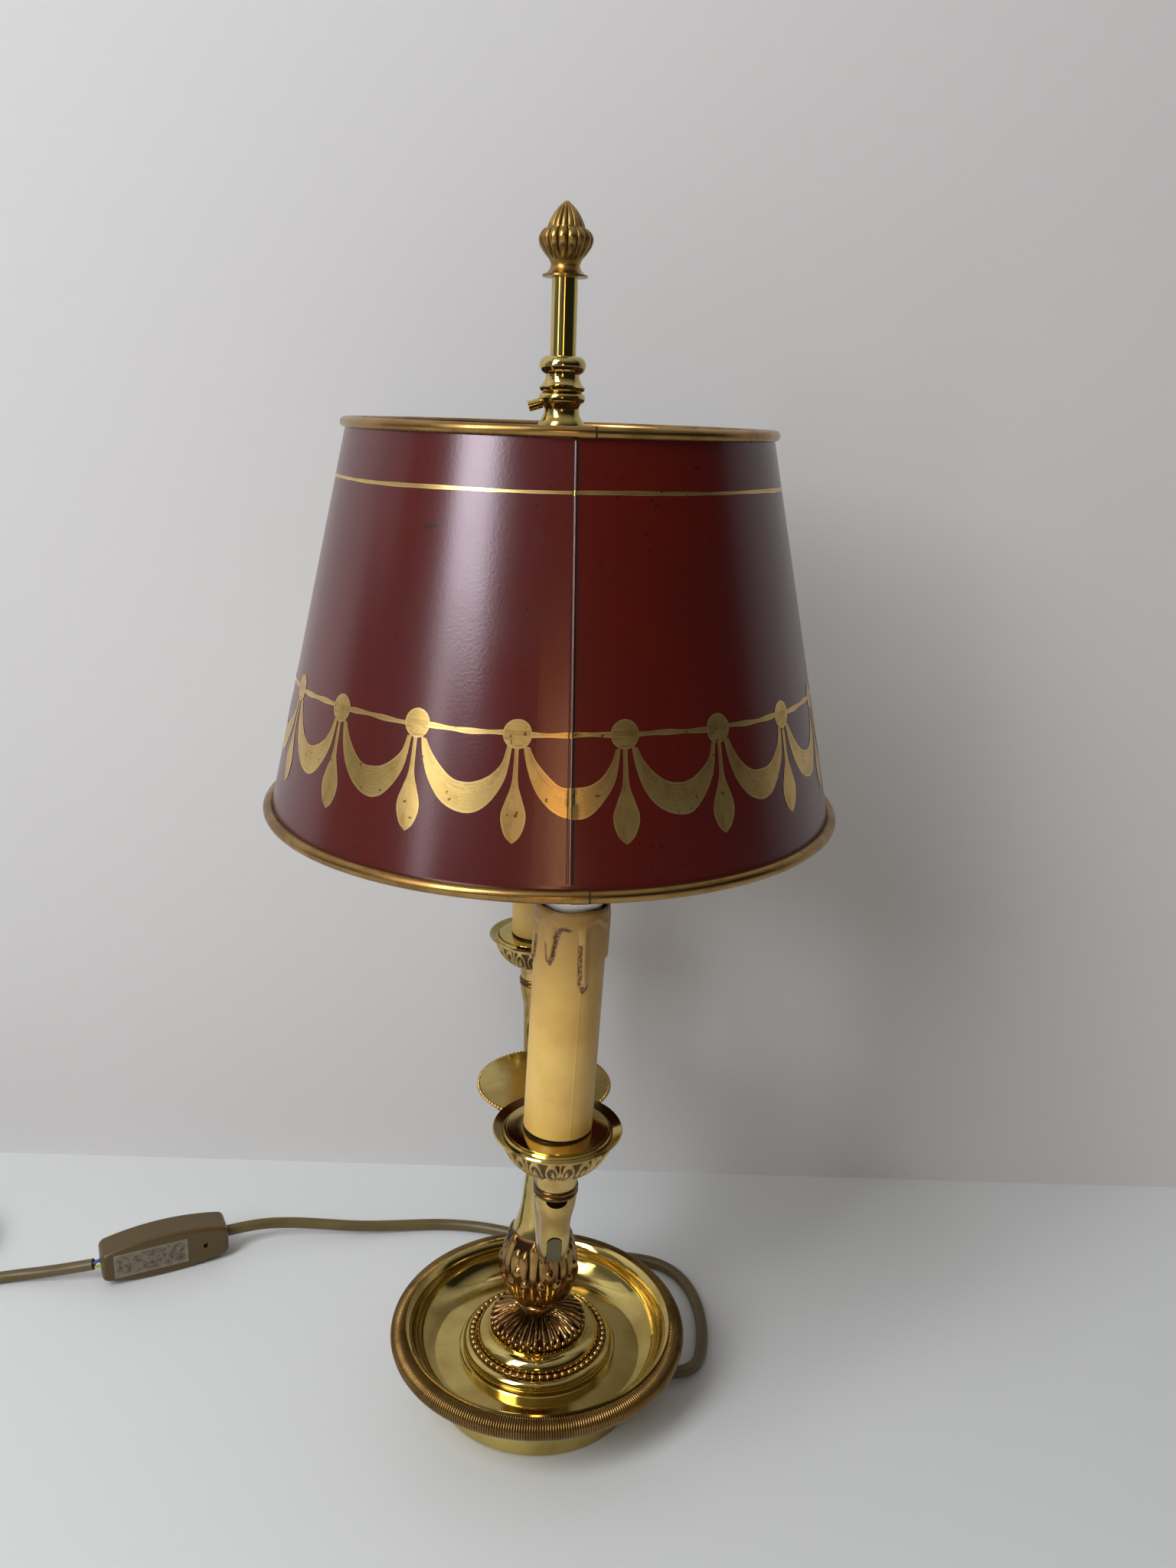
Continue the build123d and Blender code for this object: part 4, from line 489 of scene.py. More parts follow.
urn_bottom, urn_top, urn_leaves = 47.0, 88.0, 7
front_high, back_high, ground_deep = 2.4, 1.4, 0.7  # the two rows of leaves and the ground between
urn_side = [(7.0, urn_bottom), (10.6, 50.0), (14.0, 55.0), (16.2, 61.0), (17.3, 67.0), (17.2, 73.0)]
urn_side += [(15.9, 79.0), (14.4, 84.0), (13.4, urn_top)]
urn_line = [(5.4, urn_bottom), *flow(urn_side, 11), (5.4, urn_top)]


def urn_relief(angle, radius, height, k):
    """Leaves that stand on the urn, each cut into fingers, with tips that curl outwards."""
    if k == 0 or k == len(urn_line) - 1:
        return 0.0, 0.0, 0.0
    along = (height - urn_bottom) / (urn_top - urn_bottom)
    front, tip = leaf(across_of(angle, urn_leaves), along, 0.70, 0.54, 0.29, 0.16, -0.09)
    back, back_tip = leaf(across_of(angle, urn_leaves, 0.5), along, 0.985, 0.62, 0.33, 0.13, -0.06)
    front_lift = front_high * front + 0.35 * front * tip
    back_lift = back_high * back + 0.3 * back * back_tip
    high = max(front, 0.85 * back)
    lift = max(front_lift, back_lift) * step(0.0, 0.12, along)
    return lift - ground_deep, 0.0, (1.0 - min(1.0, high * 1.45)) * 0.95 * (1 - step(0.95, 0.99, along))


piece("acanthus_urn", turned(urn_line, 448, urn_relief), cast_bronze, "base", ["urn"])
wear(polished_brass, "stem")

# ------------------------------------------------------------------ hub and its fluted bowl
# The hub takes the two arms. Above it stands a bowl with round flutes, closed by a flat plate whose edge
# is milled into small beads.
bowl_bottom, bowl_top, bowl_flutes, flute_deep = 150.0, 162.8, 28, 1.1
bowl_side = flow([(11.0, bowl_bottom), (17.0, 151.6), (22.6, 155.4), (26.4, 159.4), (28.3, bowl_top)], 8)
bowl_line = [(5.4, bowl_bottom), *bowl_side, (5.4, bowl_top)]


def bowl_relief(angle, radius, height, k):
    """Round flutes that fade out at the foot and under the plate."""
    if k == 0 or k == len(bowl_line) - 1:
        return 0.0, 0.0, 0.0
    along = (height - bowl_bottom) / (bowl_top - bowl_bottom)
    swell = abs(math.sin(angle * bowl_flutes / 2))
    fade = step(0.0, 0.2, along) * (1 - step(0.88, 1.0, along))
    return (swell - 0.75) * flute_deep * fade, 0.0, (1 - swell) * 0.8 * fade


shape = turned(bowl_line, 448, bowl_relief)
piece("fluted_bowl", shape, antique_brass, "base", ["hub_bowl"])
wear(polished_brass, "hub", "hub_plate")
bead = {"Count": 96, "Ring_Radius": 29.55 * mm, "Bead_Radius": 0.98 * mm, "Height": 163.15 * mm}
grown("plate_beads", beads, "base", "polished_brass", Material=bead_brass, **bead)

# ------------------------------------------------------------------ arms, rings, cups and drip pans
# Two solid polished arms with a wiring slot under the bend. A dark ring with a pointed tongue caps each
# arm, and a cup with cast scrolls carries the drip pan.
arm_brass = metal(
    "arm_brass", (0.56, 0.395, 0.130), (0.34, 0.215, 0.064), (0.10, 0.05, 0.015), 0.12, 0.26, patches=42.0
)
wear(arm_brass, "arm_front", "arm_back")
wear(polished_brass, "drip_pan_front", "drip_pan_back")
wear(steel, "nipple_front", "nipple_back")
arm_reach, arm_sides = 92.5, (("front", -1), ("back", 1))
cup_bottom, cup_ring_top, cup_top = 173.3, 180.5, 195.0
cup_line = [(5.1, cup_bottom), (8.0, cup_bottom), (8.3, 179.2), (9.3, 179.2), (9.5, 179.4)]
cup_line += [(9.5, cup_ring_top)]
cup_line += arc(cup_line[-1], (17.2, 185.7), (21.5, cup_top), 44)
cup_outside = len(cup_line)
cup_line += [(20.2, cup_top)]
cup_line += arc((20.2, cup_top), (15.9, 187.0), (9.5, 183.1), 12)
cup_line += [(5.1, 183.1)]
cup_scrolls, scroll_high = 10, 0.9


def scroll(across, along):
    """Height from 0 to 1 of a pair of C-scrolls back to back, with a small leaf between pairs."""
    side = abs(across)
    ring = math.hypot((side - 0.50) / 0.40, (along - 0.52) / 0.40)
    stroke = 1 - step(0.10, 0.26, abs(ring - 0.86))
    opening = step(0.86, 1.0, side) * step(0.4, 0.6, along)
    eye = 1 - step(0.10, 0.24, math.hypot((side - 0.42) / 0.8, along - 0.46))
    stem = (1 - step(0.03, 0.10, side)) * step(0.12, 0.3, along)
    return max(stroke * (1 - opening), eye, stem)


def cup_relief(angle, radius, height, k):
    """Cast scrolls round the bowl of the cup, on a sunk dark ground."""
    if radius < 9.6 or k > cup_outside:
        return 0.0, 0.0, 0.0
    along = (height - cup_ring_top) / (cup_top - cup_ring_top)
    high = scroll(across_of(angle, cup_scrolls), along)
    band = step(0.02, 0.12, along) * (1 - step(0.86, 0.94, along))
    return (high - 0.75) * scroll_high * band, -0.2 * high * band, (1 - high) * 0.85 * band


scroll_brass = metal(
    "scroll_brass", (0.62, 0.44, 0.17), (0.44, 0.29, 0.10), (0.060, 0.032, 0.012), 0.20, 0.34, patches=90.0
)
for name, side in arm_sides:
    shape = turned(cup_line, 384, cup_relief, side * arm_reach)
    piece("scroll_cup_" + name, shape, scroll_brass, "base", ["cup_" + name])

# The capping ring is two rounds, one above the other, on a plain brass band. The tongue hangs outwards.
# The tongue is painted near black as painted shadow under the ring, and the crease between the rounds a little
# darker as painted shade.
ring_radius, ring_low, ring_parting, ring_high = 8.15, 169.2, 171.2, 173.25
tongue_half, tongue_long = 4.3, 2.3
ring_line = [(6.6, ring_low), (8.05, ring_low), (8.07, ring_low + 0.15)]
ring_line += arc(ring_line[-1], (8.62, 170.2), (8.07, ring_parting - 0.05), 8)
ring_line += arc((8.07, ring_parting + 0.05), (8.66, 172.2), (8.1, ring_high), 8)
ring_line += [(6.6, ring_high)]
band_low, notch_half, notch_long = 167.4, 7.9, 3.8
band_line = [(6.0, band_low), (8.08, band_low), (8.1, 168.3), (8.0, ring_low + 0.1), (6.0, ring_low + 0.1)]


def from_outward(angle, side):
    """An angle counted from the arm's outward side."""
    return (angle - side * math.pi / 2 + math.pi) % math.tau - math.pi


for name, side in arm_sides:

    def tongue(angle, radius, height, k, side=side):
        """The tongue's drop below the ring, on the outward side, painted near black as painted shadow under the
        ring; the crease between the rounds gets a little painted shade.
        """
        off = from_outward(angle, side)
        share = max(0.0, 1 - (off * ring_radius / tongue_half) ** 2)
        if height > ring_low + 0.2 or radius < 7.0 or share == 0.0:
            return 0.0, 0.0, 0.15 if abs(height - ring_parting) < 0.3 else 0.0
        if height > ring_low + 0.05:
            return 0.0, 0.0, 1.0
        return 0.35 * math.sqrt(share), -tongue_long * math.sqrt(share), 1.0

    def point(angle, radius, height, k, side=side):
        """The band's outward point, which fills the arm's notch."""
        off = from_outward(angle, side)
        share = max(0.0, 1 - abs(8.1 * math.sin(off)) / notch_half) if abs(off) < math.pi / 2 else 0.0
        if height > band_low + 0.1 or radius < 7.0:
            return 0.0, 0.0, 0.0
        return -0.12 * share, -notch_long * share, 0.0

    shape = turned(ring_line, 192, tongue, side * arm_reach)
    piece("cap_ring_" + name, shape, groove_dark, "base", ["sleeve_ring_" + name])
    shape = turned(band_line, 192, point, side * arm_reach)
    piece("arm_band_" + name, shape, arm_brass, "base")


def sine(degrees):
    """The sine of an angle in degrees."""
    return math.sin(math.radians(degrees))


def cosine(degrees):
    """The cosine of an angle in degrees."""
    return math.cos(math.radians(degrees))


# The lead's grey sleeve shows in the slot under the bend of each arm.
sleeve_grey = plain("lead_sleeve", (0.125, 0.110, 0.052), (0.085, 0.074, 0.034), 0.55, 200.0, 0.03)
sleeve_grey.node_tree.nodes["Principled BSDF"].inputs["Specular IOR Level"].default_value = 0.2
bend, arm_low, sleeve_out, slot_half, slot_start = 24.0, 130.5, 28.4, 2.9, -8.0
bend_y, bend_z = arm_reach - bend, arm_low + bend
for name, side in arm_sides:
    turns = [slot_start - 0.2 - 0.7 * k for k in range(10)] + [-15.0 - 3.0 * k for k in range(25)]
    points = []
    for t in turns:
        y = side * (bend_y + sleeve_out * cosine(t))
        z = bend_z + sleeve_out * sine(t)
        under = min(1.0, math.radians(slot_start - t) * sleeve_out / slot_half)
        half = slot_half * math.sqrt(1 - (1 - under) ** 2)
        for j in range(7):
            points.append((half * (j / 3 - 1), y, z))
    faces = sheet_faces(len(turns), 7)
    if side > 0:
        faces = [face[::-1] for face in faces]
    shape = points, faces, [0.0] * len(points)
    piece("lead_sleeve_" + name, shape, sleeve_grey, "base", closed=False)

# Each candle stands on a low brass seat in its drip pan.
seat_line = [(13.0, 195.25), (19.5, 195.25), (19.5, 197.1), (19.4, 197.32), (19.15, 197.4), (13.0, 197.45)]
for name, side in arm_sides:
    shape = turned(seat_line, 128, None, side * arm_reach)
    piece("candle_seat_" + name, shape, polished_brass, "base")

# ------------------------------------------------------------------ candles
# Ivory plastic sleeves over the lampholders. Wax drips are moulded round the mouth, with burnt brown
# along their edges, and a mould line runs down one side.
dark_plastic = plain("dark_plastic", (0.012, 0.009, 0.006), (0.02, 0.015, 0.01), 0.4, 300.0, 0.05)
wear(dark_plastic, "lampholder_front", "lampholder_back")

candle_foot, candle_length, candle_radius, candle_wall = 198.5, 90.75, 13.0, 1.1
# The wax reaches down to a wavy level, and runs on in drips: (angle, height) of the top and the tip, and
# the radius at both. Angles are from the front towards +X, heights from the foot of the sleeve.
wax_level, wax_thick, bare_below = 84.6, 0.95, 54.0
drips = [
    ((-41.0, 84.0), (-36.5, 72.3), 2.6, 1.6),
    ((14.5, 85.0), (20.5, 62.3), 1.7, 1.7),
    ((76.0, 84.0), (80.0, 71.6), 3.0, 2.2),
    ((112.0, 84.0), (110.0, 64.0), 1.9, 1.6),
    ((152.0, 84.0), (155.0, 75.0), 3.0, 2.2),
    ((-166.0, 84.0), (-168.0, 66.0), 1.8, 1.6),
    ((-126.0, 84.0), (-124.0, 76.0), 2.8, 2.0),
    ((-86.0, 84.0), (-84.0, 69.0), 1.9, 1.7),
]
# The burnt brown strokes beside the drips: lines of (angle, height).
burns = [
    [(-46.0, 77.0), (-42.5, 71.5), (-36.5, 70.2), (-31.0, 74.0), (-28.0, 79.0), (-23.5, 83.2)]
    + [(-16.0, 84.6), (-8.0, 84.0)],
    [(-29.0, 80.5), (-25.0, 83.0), (-19.0, 84.4), (-13.0, 84.6)],
    [(11.0, 78.0), (12.2, 70.0), (14.0, 63.5), (20.0, 60.4), (26.0, 62.3)],
    [(104.0, 78.0), (103.0, 66.0), (110.0, 62.2), (117.0, 65.0)],
    [(-175.0, 80.0), (-176.0, 68.0), (-168.0, 64.2), (-160.0, 69.0)],
    [(-92.0, 80.0), (-92.0, 70.0), (-84.0, 67.2), (-77.0, 71.0), (-74.0, 78.0)],
]


def to_segment(x, y, a, b):
    """The distance from a point to a segment, and the share of the way along it."""
    dx, dy = b[0] - a[0], b[1] - a[1]
    t = min(1.0, max(0.0, ((x - a[0]) * dx + (y - a[1]) * dy) / (dx * dx + dy * dy)))
    return math.hypot(x - a[0] - dx * t, y - a[1] - dy * t), t


def between(start, end):
    """The turn in degrees from one angle to another, the short way."""
    return (end - start + 180) % 360 - 180


def candle_skin(degrees, height):
    """The wax's thickness and how burnt it is at a place on the sleeve, worked on the sleeve unrolled."""
    around = math.radians(1.0) * candle_radius
    inside = height - wax_level + 1.3 * cosine(degrees * 5 + 20) - 0.5 * cosine(degrees * 9)
    for top, tip, wide, narrow in drips:
        off = between(top[0], degrees)
        lean = (tip[0] - top[0]) * around
        distance, t = to_segment(off * around, height, (0.0, top[1] + 3.0), (lean, tip[1]))
        drip = wide + (narrow - wide) * t - distance
        blend = max(0.0, 2.2 - abs(inside - drip)) / 2.2
        inside = max(inside, drip) + blend * blend * 0.55
    thick = wax_thick * math.sqrt(min(1.0, max(0.0, inside) / 1.5)) * (1.0 - 0.35 * step(1.6, 4.0, inside))
    burnt = 0.0
    for line in burns:
        for a, b in zip(line, line[1:]):
            off = between(a[0], degrees)
            if abs(off) < 30:
                along = (between(a[0], b[0]) * around, b[1])
                distance, t = to_segment(off * around, height, (0.0, a[1]), along)
                burnt = max(burnt, 1 - step(0.35, 1.15, distance))
    return thick, burnt


def mould(degrees):
    """The mould line: a fine ridge down one side."""
    return 0.10 * math.exp(-((between(17.0, degrees) / 1.1) ** 2))


def candle_shape(side, lean, turn):
    """The sleeve: outside with its wax, mouth and bore, leaning about the middle of its foot."""
    around, wax_rows, edge = 288, 100, 0.35
    rows = [edge + 53.0 * k / 9 for k in range(10)]
    rows += [rows[-1] + (candle_length - rows[-1]) * k / wax_rows for k in range(1, wax_rows + 1)]
    lean = math.radians(lean)
    points, depths, rings = [], [], 0
    inner = candle_radius - candle_wall

    def add_ring(radius_at, height_at, depth_at):
        """One ring of points round the sleeve."""
        nonlocal rings
        for j in range(around):
            degrees = 360.0 * j / around
            r, h = radius_at(degrees), height_at(degrees)
            angle = math.radians(degrees + turn)
            x, y = r * math.sin(angle), side * arm_reach - r * math.cos(angle)
            height = candle_foot + h * math.cos(lean) - x * math.sin(lean)
            points.append((x * math.cos(lean) + h * math.sin(lean), y, height))
            depths.append(depth_at(degrees))
        rings += 1

    def mouth(degrees):
        """The mouth's uneven height."""
        wave = 0.3 * sine(degrees * 2 + 40) + 0.18 * sine(degrees * 5)
        return candle_length - 0.35 + wave

    add_ring(lambda a: candle_radius - 0.3, lambda a: 0.0, lambda a: 0.0)
    for row in rows:
        if row < bare_below:
            add_ring(lambda a: candle_radius + mould(a), lambda a, row=row: row, lambda a: 0.0)
            continue
        skins = {}

        def skin(a, row=row, skins=skins):
            """The wax at this row."""
            if a not in skins:
                skins[a] = candle_skin(between(0, a), row * mouth(a) / candle_length)
            return skins[a]

        round_off = 0.5 * step(candle_length - 1.0, candle_length, row)
        add_ring(
            lambda a: candle_radius + skin(a)[0] + mould(a) - round_off,
            lambda a, row=row: row * mouth(a) / candle_length,
            lambda a: skin(a)[1],
        )
    add_ring(lambda a: inner + 0.3, mouth, lambda a: 0.9)
    add_ring(lambda a: inner, lambda a: mouth(a) - 0.4, lambda a: 0.9)
    add_ring(lambda a: inner, lambda a: 40.0, lambda a: 0.2)
    add_ring(lambda a: inner, lambda a: 0.0, lambda a: 0.2)
    return points, ring_faces(rings, around), depths


ivory, tree, shader = new_paint("ivory_plastic")
place = object_place(tree)
cloud = noise(place, 45.0, 3.0)
fleck = ramp(noise(place, 700.0, 2.0), 0.66, 0.74)
colour = mix(ramp(cloud, 0.35, 0.7), (0.64, 0.425, 0.112), (0.52, 0.320, 0.075))
# Towards its top the sleeve turns a darker ochre.
top_darkening = ramp(put(tree, "ShaderNodeSeparateXYZ", {0: place}).outputs["Z"], 0.240, 0.288)
colour = mix(times(top_darkening, 0.85), colour, (0.31, 0.170, 0.036))
colour = mix(times(fleck, 0.35), colour, (0.38, 0.21, 0.08))
crumb = ramp(noise(place, 1100.0, 3.0), 0.40, 0.52)
burn = times(depth_in(tree), math_of("ADD", times(crumb, 0.50), 0.50))
fill(shader, {"Base Color": mix(burn, colour, (0.062, 0.020, 0.004)), "Roughness": 0.42})
fill(shader, {"Subsurface Weight": 0.12, "Subsurface Radius": (0.004, 0.0025, 0.001)})
piece("candle_sleeve_front", candle_shape(-1, 2.0, 0.0), ivory, "base", ["candle_front"])
piece("candle_sleeve_back", candle_shape(1, 0.0, 150.0), ivory, "base", ["candle_back"])

# ------------------------------------------------------------------ bulbs
# Candle bulbs of blown glass, unlit, coated white inside so that they let a little light through. Each
# screws into its lampholder by a metal cap.
cap_metal = plain("cap_metal", (0.62, 0.60, 0.56), (0.48, 0.46, 0.43), 0.35, 400.0, 0.1, 1.0)
wear(cap_metal, "bulb_base_front", "bulb_base_back")
opal, tree, shader = new_paint("opal_glass")
place = object_place(tree)
dust = ramp(noise(place, 500.0, 4.0), 0.45, 0.75)
glaze = mix(dust, (0.86, 0.86, 0.85), (0.76, 0.75, 0.72))
fill(shader, {"Base Color": glaze, "Roughness": spread(dust, 0.10, 0.24)})
fill(shader, {"Subsurface Weight": 0.4, "Subsurface Radius": (0.008, 0.008, 0.008)})
wear(opal, "bulb_front", "bulb_back")

# ------------------------------------------------------------------ rod and finial
# A plain polished rod, and a cast bud screwed on its end: sixteen lobes round the bulge, sixteen flutes
# on the cone above, on a plain waisted foot. The bud is left satin.
wear(polished_brass, "rod")
finial_bottom = 505.5
finial_side = [(8.7, finial_bottom), (8.7, finial_bottom + 0.7)]
finial_side += arc(finial_side[-1], (6.4, finial_bottom + 2.2), (5.5, finial_bottom + 4.4), 8)
finial_side += flow([(5.5, 509.9), (6.4, 511.8), (8.3, 514.0), (10.0, 516.6), (10.5, 518.8)], 8)[1:]
finial_side += arc(finial_side[-1], (9.95, 520.5), (8.3, 522.3), 10)
finial_side += [(7.4, 522.5)]
finial_side += arc((7.4, 522.5), (5.6, 526.6), (1.4, 531.6), 22)
finial_side += arc(finial_side[-1], (0.75, 532.1), (0.0, 532.3), 4)
finial_line = [(3.05, finial_bottom), *finial_side, (0.0, 516.0), (3.05, 515.8)]
lobes, flute_share = 16, 0.75


def finial_relief(angle, radius, height, k):
    """Lobes round the bulge and flutes on the cone."""
    if k == 0 or k >= len(finial_line) - 2:
        return 0.0, 0.0, 0.0
    swell = abs(math.sin(angle * lobes / 2)) ** 0.55
    lower = step(511.2, 514.5, height) * (1 - step(521.9, 522.4, height))
    upper = step(522.5, 523.2, height) * (1 - step(529.0, 531.4, height))
    groove = 1 - swell
    return -groove * lower - flute_share * groove * upper, 0.0, min(1.0, groove * 1.3) * max(lower, upper) * 0.8


satin_bronze = metal(
    "satin_bronze", (0.40, 0.25, 0.072), (0.26, 0.15, 0.040), (0.030, 0.013, 0.004), 0.26, 0.38, patches=140.0
)
shape = turned(finial_line, 384, finial_relief)
piece("bud_finial", shape, satin_bronze, "base", ["finial"])

# ------------------------------------------------------------------ shade
# Sheet metal rolled to a cone and lapped at the front, sprayed oxblood red, with rims of split brass
# tube. It hangs by a spider on the collar, which a thumb screw clamps to the rod.
wear(polished_brass, "collar", "thumb_screw")
wear(steel, "ring_nut")
shade_red, tree, shader = new_paint("shade_paint")
place = object_place(tree)
cloud = ramp(noise(place, 14.0, 4.0), 0.3, 0.7)
colour = mix(cloud, (0.074, 0.0052, 0.0022), (0.060, 0.0040, 0.0017))
fly = ramp(noise(place, 420.0, 1.0), 0.735, 0.76)
cluster = ramp(noise(place, 11.0, 2.0), 0.50, 0.62)
dirt = times(cluster, ramp(noise(place, 520.0, 1.0), 0.69, 0.72))
fly = math_of("MAXIMUM", fly, dirt)
# One scuff high on the left of the lap.
scuff = {
    "Vector": place,
    "Location": (-47.7 * mm, -76.3 * mm, 418.0 * mm),
    "Rotation": (0.0, math.radians(-8), math.radians(-32)),
    "Scale": (3.9 * mm, 30.0 * mm, 0.75 * mm),
}
scuffed = put(tree, "ShaderNodeMapping", scuff, vector_type="TEXTURE").outputs[0]
reach = put(tree, "ShaderNodeVectorMath", {0: scuffed}, operation="LENGTH").outputs[1]
reach = math_of("ADD", reach, times(noise(place, 700.0, 3.0), 1.2))
fly = math_of("MAXIMUM", fly, ramp(reach, 1.6, 1.15))
colour = mix(times(fly, 0.75), colour, (0.012, 0.004, 0.004))
skin = {"Strength": 0.12, "Distance": 0.0002, "Height": noise(place, 900.0, 2.0)}
peel = put(tree, "ShaderNodeBump", skin)
fill(shader, {"Base Color": colour, "Roughness": spread(cloud, 0.21, 0.26), "Normal": peel.outputs[0]})
fill(shader, {"Specular IOR Level": 0.8, "Specular Tint": (0.97, 0.88, 1.0, 1)})
wear(shade_red, "shade_shell")
rim_brass = metal(
    "rim_brass", (0.36, 0.215, 0.072), (0.22, 0.122, 0.038), (0.05, 0.02, 0.01), 0.24, 0.36, patches=45.0
)
wear(rim_brass, "shade_rim_bottom", "shade_rim_top")
wear(antique_brass, "spider")

cone_bottom, cone_height, cone_low, cone_high = 299.5, 150.8, 115.7, 82.9
cone_slope = (cone_low - cone_high) / cone_height
lap_turn, lap_rise, seam_at = 9.0, 0.5, 0.28


def cone_radius(height):
    """The shade's radius at a height."""
    return cone_low - cone_slope * (height - cone_bottom)


def on_shade(turn, height, proud):
    """A point on the shade's outside at an angle in degrees from the front, raised by proud millimetres."""
    radius = cone_radius(height)
    if -lap_turn < turn < seam_at:
        radius += lap_rise * (turn + lap_turn) / (lap_turn + seam_at)
    radius += proud
    angle = math.radians(turn)
    return (radius * math.sin(angle), -radius * math.cos(angle), height)


# A bead of folded sheet runs down the lap, with a painted line of shadow on each side of it. The rolled rims
# stop short of meeting, and a dark band over each rim at that place is painted shade standing for the narrow
# gap.
# Near-black paint for painted shadow beside the lap's bead and painted shade in the rims' gaps.
dark_gap = plain("dark_gap", (0.010, 0.004, 0.003), (0.006, 0.003, 0.002), 0.8, 300.0, 0.0)


def strip(line, section):
    """A strip down the shade: line is (turn, height) from top to bottom, section is (sideways, proud)."""
    points = []
    for turn, height in line:
        wide = math.degrees(1.0 / cone_radius(height))
        points += [on_shade(turn + x * wide, height, out) for x, out in section]
    return points, sheet_faces(len(line), len(section)), [0.0] * len(points)


seam_low, seam_high, seam_middle = 303.6, 447.6, -0.02
bead_side = [(-0.60, -0.05), (-0.50, 0.20), (-0.25, 0.36)]
bead_section = [*bead_side, (0.0, 0.42), *[(-x, out) for x, out in bead_side[::-1]]]
seam_line = [(seam_middle, seam_high - (seam_high - seam_low) * k / 40) for k in range(41)]
piece("seam_bead", strip(seam_line, bead_section), shade_red, "shade", closed=False)
# A pale strip along the bead's crown: painted highlight where the fold catches the light.
rubbed_paint = plain("rubbed_paint", (0.42, 0.24, 0.20), (0.06, 0.015, 0.010), 0.30, 140.0, 0.03)
crown_section = [(-0.17, 0.42), (0.0, 0.45), (0.17, 0.42)]
piece("seam_crown", strip(seam_line, crown_section), rubbed_paint, "shade", closed=False)
for name, turn, half in (("left", -0.56, 0.16), ("right", 0.56, 0.24)):
    shadow_line = [(turn, height) for _, height in seam_line]
    shape = strip(shadow_line, [(-half, 0.10), (half, 0.10)])
    piece("seam_shadow_" + name, shape, dark_gap, "shade", closed=False)
# A dark band round each rim where its ends part: painted shade in the gap.
gap_middle, gap_half, gap_proud = 6.6, 0.28, 0.06
rims = [("bottom", 116.6, 2.4, 299.5), ("top", 83.2, 2.0, 450.3)]
for name, radius, section, height in rims:
    points, count = [], 24
    for turn in ((gap_middle - gap_half) / radius, (gap_middle + gap_half) / radius):
        for j in range(count):
            a = math.tau * j / count
            r, up = radius + (section + gap_proud) * math.cos(a), (section + gap_proud) * math.sin(a)
            points.append((r * math.sin(turn), -r * math.cos(turn), height + up))
    faces = ring_faces(2, count)[:count] + [tuple(range(count))[::-1], tuple(range(count, 2 * count))]
    piece("rim_gap_" + name, (points, faces, [0.0] * len(points)), dark_gap, "shade")

# The gold is put on by brush: a line above, and below it rosettes joined by a line, swags between them
# and a drop under each. Every stroke is its own thin skin of gold on the red.
gold, tree, shader = new_paint("gold_paint")
place = object_place(tree)
stroke = put(tree, "ShaderNodeUVMap", uv_map="stroke").outputs[0]
stretched = put(tree, "ShaderNodeMapping", {"Vector": stroke, "Scale": (3.0, 46.0, 1.0)}).outputs[0]
hair = ramp(noise(stretched, 1.0, 3.0), 0.40, 0.72)
blot = ramp(noise(place, 120.0, 4.0), 0.42, 0.7)
colour = mix(blot, (0.72, 0.50, 0.185), (0.60, 0.39, 0.13))
across = put(tree, "ShaderNodeSeparateXYZ", {0: stroke}).outputs["Y"]
upper_side = ramp(across, 0.80, 0.15, 0.35, 0.95)
colour = mix(times(hair, upper_side), colour, (0.24, 0.125, 0.035))
colour = mix(times(depth_in(tree), 0.6), colour, (0.86, 0.64, 0.28))
fly = ramp(noise(place, 420.0, 1.0), 0.72, 0.75)
colour = mix(times(fly, 0.8), colour, (0.10, 0.05, 0.02))
fill(shader, {"Base Color": colour, "Metallic": 0.95, "Roughness": 0.32})
hands = random.Random(7)


class Strokes:
    """Collects strokes of gold as one open skin with its stroke map."""

    def __init__(self):
        self.points, self.faces, self.depths, self.uvs = [], [], [], []

    def band(self, upper, lower, across=6, proud=0.07):
        """A stroke between two lines of (turn, height); its edges are marked lighter."""
        first = len(self.points)
        for k, (a, b) in enumerate(zip(upper, lower)):
            for j in range(across + 1):
                t = j / across
                turn, height = a[0] + (b[0] - a[0]) * t, a[1] + (b[1] - a[1]) * t
                self.points.append(on_shade(turn, height, proud))
                self.depths.append(1.0 if j in (0, across) else 0.0)
                self.uvs.append((k / (len(upper) - 1), t))
        for a, b, c, d in sheet_faces(len(upper), across + 1):
            self.faces.append((first + a, first + d, first + c, first + b))

    def rule(self, turns, height, drift, half):
        """A brushed line round the shade, which drifts up and down and is half its width either way."""
        edges = [[(a, height + d + side * h) for a, d, h in zip(turns, drift, half)] for side in (1, -1)]
        self.band(*edges, 2)

    def disc(self, turn, height, radius):
        """A round dab."""
        first = len(self.points)
        wide = math.degrees(1.0 / cone_radius(height))
        proud, count = 0.09, 32
        wobble = [1 + 0.03 * hands.uniform(-1, 1) for _ in range(8)]
        self.points.append(on_shade(turn, height, proud))
        self.depths.append(0.0)
        self.uvs.append((0.5, 0.5))
        for ring, share in ((0, 0.84), (1, 1.0)):
            for j in range(count):
                a = math.tau * j / count
                part = a / math.tau * 8
                k = int(part) % 8
                r = radius * share * (wobble[k] + (wobble[(k + 1) % 8] - wobble[k]) * (part % 1))
                self.points.append(on_shade(turn + r * math.cos(a) * wide, height + r * math.sin(a), proud))
                self.depths.append(float(ring))
                self.uvs.append((0.5 + 0.1 * share * math.cos(a), 0.5 + 0.1 * share * math.sin(a)))
        for j in range(count):
            i = (j + 1) % count
            self.faces.append((first, first + 1 + j, first + 1 + i))
            self.faces.append((first + 1 + j, first + 1 + count + j, first + 1 + count + i, first + 1 + i))


